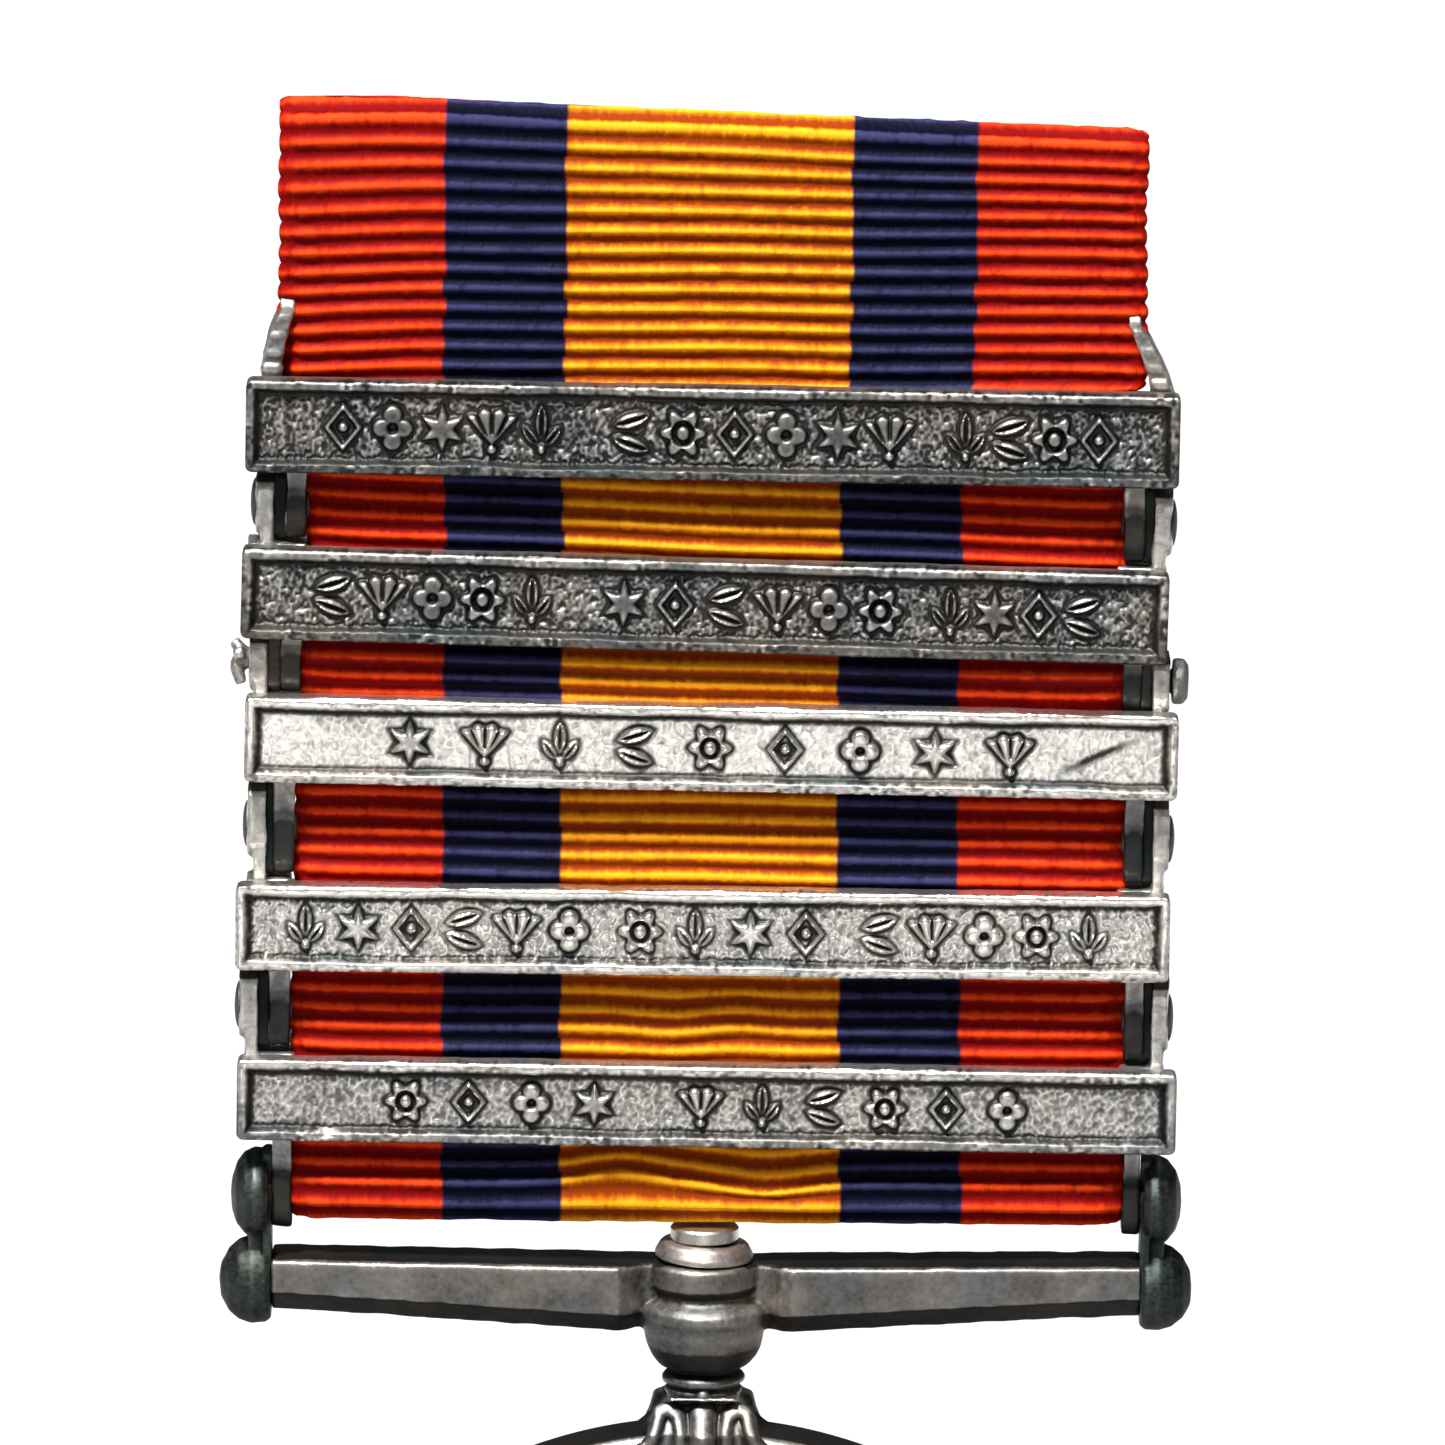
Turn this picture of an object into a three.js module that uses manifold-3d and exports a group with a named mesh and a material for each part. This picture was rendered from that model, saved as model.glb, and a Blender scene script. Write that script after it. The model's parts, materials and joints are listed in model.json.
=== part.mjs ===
// A full-size service medal that hangs by a ribbon from a brooch: five riveted clasps, a straight
// swivelling suspender and a struck disc. Millimetres, +Z up, +X to the wearer's left, front face to -Y.
// The origin is the middle of the closed brooch pin. The design frame inside has Z = 0 at the ribbon's
// top fold and Y = 0 in the plane of the rivets and the disc.
import * as THREE from "three";
import { mergeVertices } from "three/addons/utils/BufferGeometryUtils.js";
import Module from "manifold-3d";

const wasm = await Module();
wasm.setup();

// ---- driving dimensions -------------------------------------------------------------------------

const PIN_Y = 2.6; // the brooch pin lies this far behind the plane of the rivets
const PIN_Z = -2.6; // and this far under the fold

const SOLDER_GAP = 0.02; // between pieces that are soldered together
const PLAY = 0.1; // between a pin and its hole

const RIBBON = { width: 32, thickness: 0.45, looseHalf: 0.55, slotHalfWidth: 14.65 };
const FLEX_Z = -5.3; // the line about which the ribbon bends under the brooch
const FLEX_GAP = 0.64;
const RIBBON_SPLIT = 0.4; // gap between two ribbon lengths at a rivet line
const RIBBON_SPLIT_AT_PIN = 1.2; // gap where a full-width pin crosses

const PLATE = { width: 34.35, front: -1.9, back: -0.8, rim: 0.45, recess: 0.35 };
const STRAP = { halfWidth: 16.6, front: 0.9, back: 1.4, setback: 0.4 };
const LUG = { inner: 15.1, outer: 16.9, front: PLATE.back, back: STRAP.front };
const EAR = { radius: 1.2, clear: 1.35, hole: 0.55 };
const INNER_EAR = [-0.9, -0.3]; // from the rivet point, away from the middle
const OUTER_EAR = [0.1, 0.9];
const RIVET = { x: 16, shaft: 0.4, head: 0.95, headHeight: 0.28, insideHeight: 0.18 };
const SPARE_EAR_RISE = 1.7; // the top clasp's unused holes stand this far above its plate

// droop: degrees by which the right end hangs low; shift: how far the clasp sits to the right
const CLASPS = [
  { z: -11.64, height: 3.44, droop: 0.55, shift: 0 },
  { z: -18.09, height: 3.37, droop: 1.2, shift: -0.15 },
  { z: -23.43, height: 3.18, droop: 0.7, shift: 0.1 },
  { z: -30.39, height: 3.21, droop: 0.25, shift: -0.15 },
  { z: -36.96, height: 3.06, droop: 0.45, shift: 0 },
];
const LONG_PIN_UNDER = 1; // the joint under this clasp, counted from 0, has one full-width pin
const SHOULDER = { half: 15.75, height: 2.4, taper: 1.3 }; // the ribbon before it enters a clasp

const ROD_Z = -40.65;
const ROD_RADIUS = 0.5;
const LOOP = { outside: 1.0, inside: 0.72 }; // the ribbon's loop round the rod

const BAR = { halfWidth: 15.7, front: -1.35, back: 1.55, top: -42.97, endBottom: -44.77 };
const BAR_AT_BOSS = { halfWidth: 2.2, top: -43.1, bottom: -45.7 };
const BORE = 0.95;
const CHEEK = { inner: 15.95, outer: 17.1, upper: 1.6, lower: 1.6, lowerZ: -43.9, dome: 0.62 };

const SWIVEL = { shaft: 0.85, head: 1.4, headTop: -41.95, headBottom: -42.35, end: -47.23 };
const WASHER = { radius: 1.75, top: -42.4, bottom: -43.05 };

const DISC = { radius: 18, thickness: 3, top: -49.5, rim: 1.0, recess: 0.35 };
const CLAW = { top: -47.25, toe: -52.3, depth: 2.3, slack: 0.06 };
const CLAW_PIN = { z: -50.9, radius: 0.4, head: 0.62 };

const BROOCH_BAR = { halfWidth: 15.4, halfDepth: 0.45, top: -0.6, bottom: -4.2 };
const FLAP_HALF_WIDTH = 11.5; // the ribbon is folded in at the back, clear of hinge and catch
const HINGE_X = 13.4;
const CATCH_X = [-13.6, -12.2];
const NEEDLE = { radius: 0.38, tip: -14.2, eye: 0.95, eyeHole: 0.45 };

const ROUND = 20; // sides of a small cylinder
const DISC_SIDES = 60;
const CURVE_STEPS = 5; // per curve of an outline

// ---- finishes -----------------------------------------------------------------------------------

const finish = (color, roughness, metalness) =>
  new THREE.MeshStandardMaterial({ color, roughness, metalness });
const SILVER = finish(0xb8b4ac, 0.35, 0.95);
const DARK_SILVER = finish(0x8d8982, 0.45, 0.9);
const STEEL = finish(0x9a9a98, 0.4, 0.9);
const CLOTH = finish(0xb5651d, 0.85, 0);

// ---- solids -------------------------------------------------------------------------------------

function toSolid(geometry) {
  const bare = geometry.clone();
  bare.deleteAttribute("normal");
  bare.deleteAttribute("uv");
  const merged = mergeVertices(bare, 1e-4);
  const corners = merged.index.array;
  const kept = [];
  for (let i = 0; i < corners.length; i += 3) {
    const [a, b, c] = [corners[i], corners[i + 1], corners[i + 2]];
    if (a !== b && b !== c && c !== a) kept.push(a, b, c);
  }
  return new wasm.Manifold(
    new wasm.Mesh({
      numProp: 3,
      vertProperties: merged.attributes.position.array,
      triVerts: new Uint32Array(kept),
    }),
  );
}

function toGeometry(solid) {
  const mesh = solid.getMesh();
  const geometry = new THREE.BufferGeometry();
  geometry.setAttribute("position", new THREE.BufferAttribute(mesh.vertProperties, 3));
  geometry.setIndex(new THREE.BufferAttribute(mesh.triVerts, 1));
  const flat = geometry.toNonIndexed();
  flat.computeVertexNormals();
  return flat;
}

const join = (...pieces) => pieces.reduce((whole, piece) => whole.add(piece));

function block(x, y, z) {
  const box = new THREE.BoxGeometry(x[1] - x[0], y[1] - y[0], z[1] - z[0]);
  box.translate((x[0] + x[1]) / 2, (y[0] + y[1]) / 2, (z[0] + z[1]) / 2);
  return toSolid(box);
}

// A cylinder from one point to another.
function bar(from, to, radius, sides = ROUND, endRadius = radius) {
  const along = new THREE.Vector3().subVectors(to, from);
  const cylinder = new THREE.CylinderGeometry(endRadius, radius, along.length(), sides);
  const turn = new THREE.Quaternion().setFromUnitVectors(
    new THREE.Vector3(0, 1, 0),
    along.clone().normalize(),
  );
  cylinder.applyQuaternion(turn);
  const middle = new THREE.Vector3().addVectors(from, to).multiplyScalar(0.5);
  cylinder.translate(middle.x, middle.y, middle.z);
  return toSolid(cylinder);
}

const at = (x, y, z) => new THREE.Vector3(x, y, z);
const rodX = (x0, x1, y, z, radius, sides) => bar(at(x0, y, z), at(x1, y, z), radius, sides);
const rodY = (y0, y1, x, z, radius, sides) => bar(at(x, y0, z), at(x, y1, z), radius, sides);
const rodZ = (z0, z1, x, y, radius, sides) => bar(at(x, y, z0), at(x, y, z1), radius, sides);

// An outline in the YZ plane, drawn out along X.
function slabAlongX(outline, x0, x1) {
  const slab = new THREE.ExtrudeGeometry(outline, {
    depth: x1 - x0,
    bevelEnabled: false,
    curveSegments: CURVE_STEPS,
  });
  const toX = new THREE.Matrix4().makeBasis(at(0, 1, 0), at(0, 0, 1), at(1, 0, 0));
  slab.applyMatrix4(toX);
  slab.translate(x0, 0, 0);
  return toSolid(slab);
}

// An outline in the XZ plane, drawn out along Y.
function slabAlongY(outline, y0, y1) {
  const slab = new THREE.ExtrudeGeometry(outline, {
    depth: y1 - y0,
    bevelEnabled: false,
    curveSegments: CURVE_STEPS,
  });
  const toY = new THREE.Matrix4().makeBasis(at(1, 0, 0), at(0, 0, 1), at(0, -1, 0));
  slab.applyMatrix4(toY);
  slab.translate(0, y1, 0);
  return toSolid(slab);
}

const polygon = (points) => new THREE.Shape(points.map(([a, b]) => new THREE.Vector2(a, b)));

// A profile of [radius, height] turned about the Z axis.
function turned(profile, sides = 24) {
  const lathe = new THREE.LatheGeometry(
    profile.map(([radius, height]) => new THREE.Vector2(radius, height)),
    sides,
  );
  lathe.rotateX(Math.PI / 2);
  return toSolid(lathe);
}

const medal = new THREE.Group();
medal.position.set(0, -PIN_Y, -PIN_Z);

function add(parent, name, solid, material) {
  const mesh = new THREE.Mesh(toGeometry(solid), material);
  mesh.name = name;
  parent.add(mesh);
  return mesh;
}

// ---- clasps and rivets --------------------------------------------------------------------------

const claspGroups = CLASPS.map((clasp) => {
  const group = new THREE.Group();
  group.position.set(clasp.shift, 0, clasp.z);
  group.rotation.y = THREE.MathUtils.degToRad(clasp.droop);
  group.updateMatrix();
  medal.add(group);
  return group;
});

// Where the plate's top (up = 1) or bottom (up = -1) edge passes over a rivet column.
function plateEdge(index, side, up) {
  const local = at(side * RIVET.x, 0, (up * CLASPS[index].height) / 2);
  return local.applyMatrix4(claspGroups[index].matrix);
}

// The rivet points on one side, from the spare ears of the top clasp down to the ribbon rod.
function rivetPoints(side) {
  const points = [plateEdge(0, side, 1).add(at(0, 0, SPARE_EAR_RISE))];
  for (let i = 0; i + 1 < CLASPS.length; i += 1) {
    const above = plateEdge(i, side, -1);
    const below = plateEdge(i + 1, side, 1);
    points.push(above.add(below).multiplyScalar(0.5));
  }
  points.push(at(side * RIVET.x, 0, ROD_Z));
  return points;
}
const rivetColumns = { left: rivetPoints(-1), right: rivetPoints(1) };

// One ear: a round eye on a neck that runs back into the lug's body.
function ear(side, point, span, bodyZ) {
  const reach = (distance) => point.x + side * distance;
  const [x0, x1] = [reach(span[0]), reach(span[1])].sort((a, b) => a - b);
  const [z0, z1] = [point.z, bodyZ].sort((a, b) => a - b);
  return join(
    rodX(x0, x1, 0, point.z, EAR.radius),
    block([x0, x1], [LUG.front, LUG.back - SOLDER_GAP], [z0, z1]),
  );
}

// The end piece of a clasp: a short block with an outer ear above and an inner ear below.
function lug(index, side) {
  const column = side < 0 ? rivetColumns.left : rivetColumns.right;
  const toLocal = claspGroups[index].matrix.clone().invert();
  const upper = column[index].clone().applyMatrix4(toLocal);
  const lower = column[index + 1].clone().applyMatrix4(toLocal);
  const half = CLASPS[index].height / 2;
  const top = Math.min(half, upper.z - EAR.clear);
  const bottom = Math.max(-half, lower.z + EAR.clear);
  const [x0, x1] = [side * LUG.inner, side * LUG.outer].sort((a, b) => a - b);
  const body = block([x0, x1], [LUG.front, LUG.back - SOLDER_GAP], [bottom, top]);
  const whole = join(
    body,
    ear(side, upper, OUTER_EAR, top - 0.5),
    ear(side, lower, INNER_EAR, bottom + 0.5),
  );
  const hole = (point) => rodX(point.x - 2, point.x + 2, 0, point.z, EAR.hole, 16);
  return whole.subtract(hole(upper)).subtract(hole(lower));
}

function claspPlate(height) {
  const [x, z] = [PLATE.width / 2, height / 2];
  const plate = block([-x, x], [PLATE.front, PLATE.back - SOLDER_GAP], [-z, z]);
  const field = block(
    [-x + PLATE.rim, x - PLATE.rim],
    [PLATE.front - 1, PLATE.front + PLATE.recess],
    [-z + PLATE.rim, z - PLATE.rim],
  );
  return plate.subtract(field);
}

function claspStrap(height) {
  const z = height / 2 - STRAP.setback;
  return block([-STRAP.halfWidth, STRAP.halfWidth], [STRAP.front, STRAP.back], [-z, z]);
}

CLASPS.forEach((clasp, index) => {
  const name = `clasp_${index + 1}`;
  add(claspGroups[index], `${name}_front`, claspPlate(clasp.height), SILVER);
  add(claspGroups[index], `${name}_back`, claspStrap(clasp.height), SILVER);
  add(claspGroups[index], `${name}_lug_left`, lug(index, -1), DARK_SILVER);
  add(claspGroups[index], `${name}_lug_right`, lug(index, 1), DARK_SILVER);
});

// A group at the middle of the line through two rivet points, turned so that its X runs along it.
function rivetLine(index) {
  const [left, right] = [rivetColumns.left[index], rivetColumns.right[index]];
  const line = new THREE.Group();
  line.position.addVectors(left, right).multiplyScalar(0.5);
  const along = new THREE.Vector3().subVectors(right, left);
  line.rotation.y = -Math.atan2(along.z, along.x);
  medal.add(line);
  return line;
}

// A rivet with a flat head inside and a domed head outside.
function rivet(side) {
  const inside = RIVET.x + INNER_EAR[0] - 0.05;
  const outside = RIVET.x + OUTER_EAR[1] + 0.05;
  const x = (distance) => side * distance;
  return join(
    rodX(x(inside), x(outside), 0, 0, RIVET.shaft, 16),
    rodX(x(inside - RIVET.insideHeight), x(inside), 0, 0, RIVET.head * 0.8, 16),
    bar(
      at(x(outside), 0, 0),
      at(x(outside + RIVET.headHeight), 0, 0),
      RIVET.head,
      16,
      RIVET.head * 0.6,
    ),
  );
}

// The one pin that runs the whole width: a round head at the right, a bent-over tip at the left.
function longPin() {
  const end = RIVET.x + OUTER_EAR[1] + 0.1;
  const bend = -end - RIVET.shaft;
  return join(
    rodX(bend, end, 0, 0, RIVET.shaft, 16),
    bar(at(end, 0, 0), at(end + 0.5, 0, 0), 0.83, 16, 0.6),
    bar(at(bend, 0, 0.35), at(bend - 0.1, 0, -0.95), RIVET.shaft, 12, 0.25),
  );
}

for (let under = 0; under + 1 < CLASPS.length; under += 1) {
  const line = rivetLine(under + 1);
  const joint = `${under + 1}_${under + 2}`;
  if (under === LONG_PIN_UNDER) {
    add(line, `long_pin_${joint}`, longPin(), STEEL);
  } else {
    add(line, `rivet_${joint}_left`, rivet(-1), SILVER);
    add(line, `rivet_${joint}_right`, rivet(1), SILVER);
  }
}

// ---- ribbon -------------------------------------------------------------------------------------

const halfThick = RIBBON.looseHalf;

// The loop over the brooch bar: full width in front, folded in at the back.
function ribbonFold() {
  const [side, bottom] = [RIBBON.width / 2, FLEX_Z + FLEX_GAP / 2];
  const over = BROOCH_BAR.halfDepth + PLAY;
  const shell = over + RIBBON.thickness;
  const round = BROOCH_BAR.top + PLAY - over * 0.3;
  const outline = new THREE.Shape();
  outline.moveTo(-halfThick, bottom);
  outline.lineTo(halfThick, bottom);
  outline.lineTo(shell, BROOCH_BAR.bottom);
  outline.lineTo(shell, round);
  outline.quadraticCurveTo(shell, 0, shell * 0.35, 0);
  outline.lineTo(-shell * 0.35, 0);
  outline.quadraticCurveTo(-shell, 0, -shell, round);
  outline.lineTo(-shell, BROOCH_BAR.bottom);
  const loop = slabAlongX(outline, -side, side);
  const inside = block(
    [-side - 1, side + 1],
    [-over, over],
    [BROOCH_BAR.bottom - PLAY, BROOCH_BAR.top + PLAY],
  );
  const corner = (x0, x1) => block([x0, x1], [0.05, 2], [bottom - 1, 1]);
  return loop
    .subtract(inside)
    .subtract(corner(-side - 1, -FLAP_HALF_WIDTH))
    .subtract(corner(FLAP_HALF_WIDTH, side + 1));
}

// Both runs of the ribbon between two rivet lines, in the frame of the clasp that it threads.
function ribbonLength(top, bottom, wideTop) {
  const narrow = RIBBON.slotHalfWidth;
  const body = (half, z0, z1) => block([-half, half], [-halfThick, halfThick], [z0, z1]);
  if (!wideTop) return body(narrow, bottom, top);
  const { half, height, taper } = SHOULDER;
  const shoulder = top - height;
  const outline = polygon([
    [-narrow, bottom],
    [narrow, bottom],
    [narrow, shoulder - taper],
    [half, shoulder],
    [half, top],
    [-half, top],
    [-half, shoulder],
    [-narrow, shoulder - taper],
  ]);
  return slabAlongY(outline, -halfThick, halfThick);
}

// The last length with its loop round the rod.
function ribbonWithLoop(top, rod) {
  const flat = ribbonLength(top, rod, false);
  const side = RIBBON.slotHalfWidth;
  const loop = rodX(-side, side, 0, rod, LOOP.outside, 24);
  const hole = rodX(-side - 1, side + 1, 0, rod, LOOP.inside, 24);
  return join(flat, loop).subtract(hole);
}

const splitAt = (line) => (line === LONG_PIN_UNDER + 1 ? RIBBON_SPLIT_AT_PIN : RIBBON_SPLIT) / 2;
const lineHeight = (line) => (rivetColumns.left[line].z + rivetColumns.right[line].z) / 2;

add(medal, "ribbon_fold", ribbonFold(), CLOTH);
CLASPS.forEach((clasp, index) => {
  const first = index === 0;
  const last = index + 1 === CLASPS.length;
  const top = first ? FLEX_Z - FLEX_GAP / 2 : lineHeight(index) - splitAt(index);
  const bottom = last ? ROD_Z : lineHeight(index + 1) + splitAt(index + 1);
  const solid = last
    ? ribbonWithLoop(top - clasp.z, bottom - clasp.z)
    : ribbonLength(top - clasp.z, bottom - clasp.z, first);
  add(claspGroups[index], `ribbon_${index + 1}`, solid, CLOTH);
});

// ---- brooch -------------------------------------------------------------------------------------

function broochBar() {
  const { halfWidth, halfDepth, top, bottom } = BROOCH_BAR;
  return block([-halfWidth, halfWidth], [-halfDepth, halfDepth], [bottom, top]);
}

const soldered = BROOCH_BAR.halfDepth + SOLDER_GAP;

// The hinge bracket: a foot on the bar and two leaves above and below the pin's eye.
function pinKnuckle() {
  const foot = block([HINGE_X - 1.2, HINGE_X + 1.2], [soldered, 0.95], [-3.9, -1.3]);
  const leaf = (z0, z1) =>
    join(
      block([HINGE_X - 0.95, HINGE_X + 0.95], [soldered, PIN_Y], [z0, z1]),
      rodZ(z0, z1, HINGE_X, PIN_Y, 0.95),
    );
  return join(foot, leaf(-3.7, -3.2), leaf(-2.0, -1.5)).subtract(
    rodZ(-5, 0, HINGE_X, PIN_Y, NEEDLE.eyeHole, 16),
  );
}

function pinRivet() {
  return join(
    rodZ(-3.85, -1.35, HINGE_X, PIN_Y, 0.35, 16),
    rodZ(-4.0, -3.72, HINGE_X, PIN_Y, 0.62, 16),
    rodZ(-1.48, -1.2, HINGE_X, PIN_Y, 0.62, 16),
  );
}

// The spring-wire pin: an eye at the hinge and a long shank that runs out to a point.
function broochPin() {
  const taper = 3.2;
  const [y, z, r] = [PIN_Y, PIN_Z, NEEDLE.radius];
  const eye = rodZ(z - r, z + r, HINGE_X, y, NEEDLE.eye);
  const shank = bar(at(HINGE_X - 0.6, y, z), at(NEEDLE.tip + taper, y, z), r, 16);
  const point = bar(at(NEEDLE.tip + taper, y, z), at(NEEDLE.tip, y, z), r, 16, 0.04);
  const hole = rodZ(z - 1, z + 1, HINGE_X, y, NEEDLE.eyeHole, 16);
  return join(eye, shank, point).subtract(hole);
}

// The catch: a strip bent into a C over the pin, open underneath, on a foot on the bar.
function pinCatch() {
  const [inside, outside] = [0.55, 0.9];
  const hook = new THREE.Shape();
  const [from, to] = [THREE.MathUtils.degToRad(-55), THREE.MathUtils.degToRad(150)];
  hook.absarc(PIN_Y, PIN_Z, outside, from, to, false);
  hook.absarc(PIN_Y, PIN_Z, inside, to, from, true);
  const armTop = PIN_Z + outside;
  return join(
    slabAlongX(hook, ...CATCH_X),
    block(CATCH_X, [soldered, PIN_Y], [armTop - 0.35, armTop]),
    block(CATCH_X, [soldered, 0.9], [-3.6, armTop]),
  );
}

add(medal, "brooch_bar", broochBar(), SILVER);
add(medal, "pin_knuckle", pinKnuckle(), SILVER);
add(medal, "pin_rivet", pinRivet(), SILVER);
add(medal, "pin_catch", pinCatch(), SILVER);
add(medal, "brooch_pin", broochPin(), STEEL);

// ---- suspender and swivel -----------------------------------------------------------------------

function suspenderBar() {
  const { halfWidth, top, endBottom, front, back } = BAR;
  const boss = BAR_AT_BOSS;
  const outline = polygon([
    [-halfWidth, endBottom],
    [-boss.halfWidth, boss.bottom],
    [boss.halfWidth, boss.bottom],
    [halfWidth, endBottom],
    [halfWidth, top],
    [boss.halfWidth, boss.top],
    [-boss.halfWidth, boss.top],
    [-halfWidth, top],
  ]);
  const chamfer = 0.45;
  const section = polygon([
    [front, boss.bottom + chamfer * 2],
    [front + chamfer, boss.bottom - 0.1],
    [back - chamfer, boss.bottom - 0.1],
    [back, boss.bottom + chamfer * 2],
    [back, top + 0.1],
    [front, top + 0.1],
  ]);
  const beam = slabAlongY(outline, front, back).intersect(slabAlongX(section, -halfWidth, halfWidth));
  const bowl = turned([
    [0, -47.15],
    [1.5, -47.15],
    [1.95, -46.6],
    [2.2, -45.9],
    [2.3, -45.4],
    [2.3, -45.0],
    [1.75, -44.6],
    [1.95, -44.3],
    [1.95, -43.3],
    [0, -43.3],
  ]);
  const tenon = (side) =>
    rodX(side * (halfWidth - 0.2), side * (CHEEK.inner - SOLDER_GAP), 0, CHEEK.lowerZ, 0.8);
  return join(beam, bowl, tenon(-1), tenon(1)).subtract(rodZ(-48, -42, 0, 0, BORE, 24));
}

// The end piece of the suspender: two round lobes, domed outside, over the rod and the bar's end.
function cheek(side) {
  const span = [side * CHEEK.inner, side * CHEEK.outer].sort((a, b) => a - b);
  const waist = 1.15;
  const dome = (radius, z, height) => {
    const cap = new THREE.SphereGeometry(radius, 16, 8);
    cap.scale(height / radius, 1, 1);
    cap.translate(side * CHEEK.outer, 0, z);
    return toSolid(cap);
  };
  return join(
    rodX(...span, 0, ROD_Z, CHEEK.upper),
    rodX(...span, 0, CHEEK.lowerZ, CHEEK.lower),
    block(span, [-waist, waist], [CHEEK.lowerZ, ROD_Z]),
    dome(CHEEK.upper * 0.97, ROD_Z, 0.35),
    dome(CHEEK.lower * 0.97, CHEEK.lowerZ, CHEEK.dome),
  );
}

function ribbonRod() {
  const end = CHEEK.inner - SOLDER_GAP;
  return rodX(-end, end, 0, ROD_Z, ROD_RADIUS, 16);
}

function swivelPin() {
  return turned([
    [0, SWIVEL.end],
    [SWIVEL.shaft, SWIVEL.end],
    [SWIVEL.shaft, SWIVEL.headBottom],
    [SWIVEL.head, SWIVEL.headBottom],
    [SWIVEL.head, SWIVEL.headTop - 0.12],
    [SWIVEL.head - 0.35, SWIVEL.headTop],
    [0, SWIVEL.headTop],
  ]);
}

function swivelWasher() {
  const ring = rodZ(WASHER.bottom, WASHER.top, 0, 0, WASHER.radius, 24);
  return ring.subtract(rodZ(-44, -42, 0, 0, SWIVEL.shaft + PLAY, 24));
}

add(medal, "suspender_bar", suspenderBar(), SILVER);
add(medal, "suspender_cheek_left", cheek(-1), SILVER);
add(medal, "suspender_cheek_right", cheek(1), SILVER);
add(medal, "ribbon_rod", ribbonRod(), SILVER);
add(medal, "swivel_washer", swivelWasher(), DARK_SILVER);
add(medal, "swivel_pin", swivelPin(), SILVER);

// ---- claw and disc ------------------------------------------------------------------------------

const discCentre = DISC.top - DISC.radius;

function discSolid(radius, half) {
  return rodY(-half, half, 0, discCentre, radius, DISC_SIDES);
}

// The claw: neck rings, a web over the disc's edge and a scrolled toe on each face.
function claw() {
  const outline = new THREE.Shape();
  outline.moveTo(-1.3, -48.0);
  outline.quadraticCurveTo(-2.6, -48.6, -2.5, -49.6);
  outline.quadraticCurveTo(-3.3, -49.9, -3.5, -50.7);
  outline.quadraticCurveTo(-2.9, -51.5, -1.6, -50.9);
  outline.lineTo(-0.9, CLAW.toe);
  outline.lineTo(0.9, CLAW.toe);
  outline.lineTo(1.6, -50.9);
  outline.quadraticCurveTo(2.9, -51.5, 3.5, -50.7);
  outline.quadraticCurveTo(3.3, -49.9, 2.5, -49.6);
  outline.quadraticCurveTo(2.6, -48.6, 1.3, -48.0);
  const arms = slabAlongY(outline, -CLAW.depth, CLAW.depth);
  const neck = turned([
    [0, -48.6],
    [1.25, -48.6],
    [1.25, -47.7],
    [1.6, -47.7],
    [1.6, CLAW.top],
    [0, CLAW.top],
  ]);
  const slot = discSolid(DISC.radius + CLAW.slack, DISC.thickness / 2 + CLAW.slack);
  const hole = rodY(-3, 3, 0, CLAW_PIN.z, CLAW_PIN.radius + 0.05, 16);
  return join(arms, neck).subtract(slot).subtract(hole);
}

function clawPin() {
  const { z, radius, head } = CLAW_PIN;
  const face = CLAW.depth + 0.03;
  return join(
    rodY(-face - 0.1, face + 0.1, 0, z, radius, 16),
    rodY(-face - 0.25, -face, 0, z, head, 16),
    rodY(face, face + 0.25, 0, z, head, 16),
  );
}

// A blank with a raised rim on both faces.
function medalDisc() {
  const half = DISC.thickness / 2;
  const [edge, inner] = [DISC.radius, DISC.radius - DISC.rim];
  const floor = half - DISC.recess;
  const blank = new THREE.LatheGeometry(
    [
      [0, -floor],
      [inner - 0.2, -floor],
      [inner, -half],
      [edge, -half],
      [edge, half],
      [inner, half],
      [inner - 0.2, floor],
      [0, floor],
    ].map(([radius, height]) => new THREE.Vector2(radius, height)),
    DISC_SIDES,
  );
  const solid = toSolid(blank.translate(0, 0, discCentre));
  return solid.subtract(rodY(-3, 3, 0, CLAW_PIN.z, CLAW_PIN.radius + 0.05, 16));
}

add(medal, "claw", claw(), SILVER);
add(medal, "claw_pin", clawPin(), SILVER);
add(medal, "medal_disc", medalDisc(), SILVER);

const part = new THREE.Group();
part.add(medal);
export default part;
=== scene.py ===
"""A service medal on its ribbon: the looks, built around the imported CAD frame.

Shapes are worked out in millimetres in the row frame and stored in metres.
"""

import json
import math

import bmesh
import bpy
import numpy as np
from mathutils import Matrix, Vector

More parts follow.
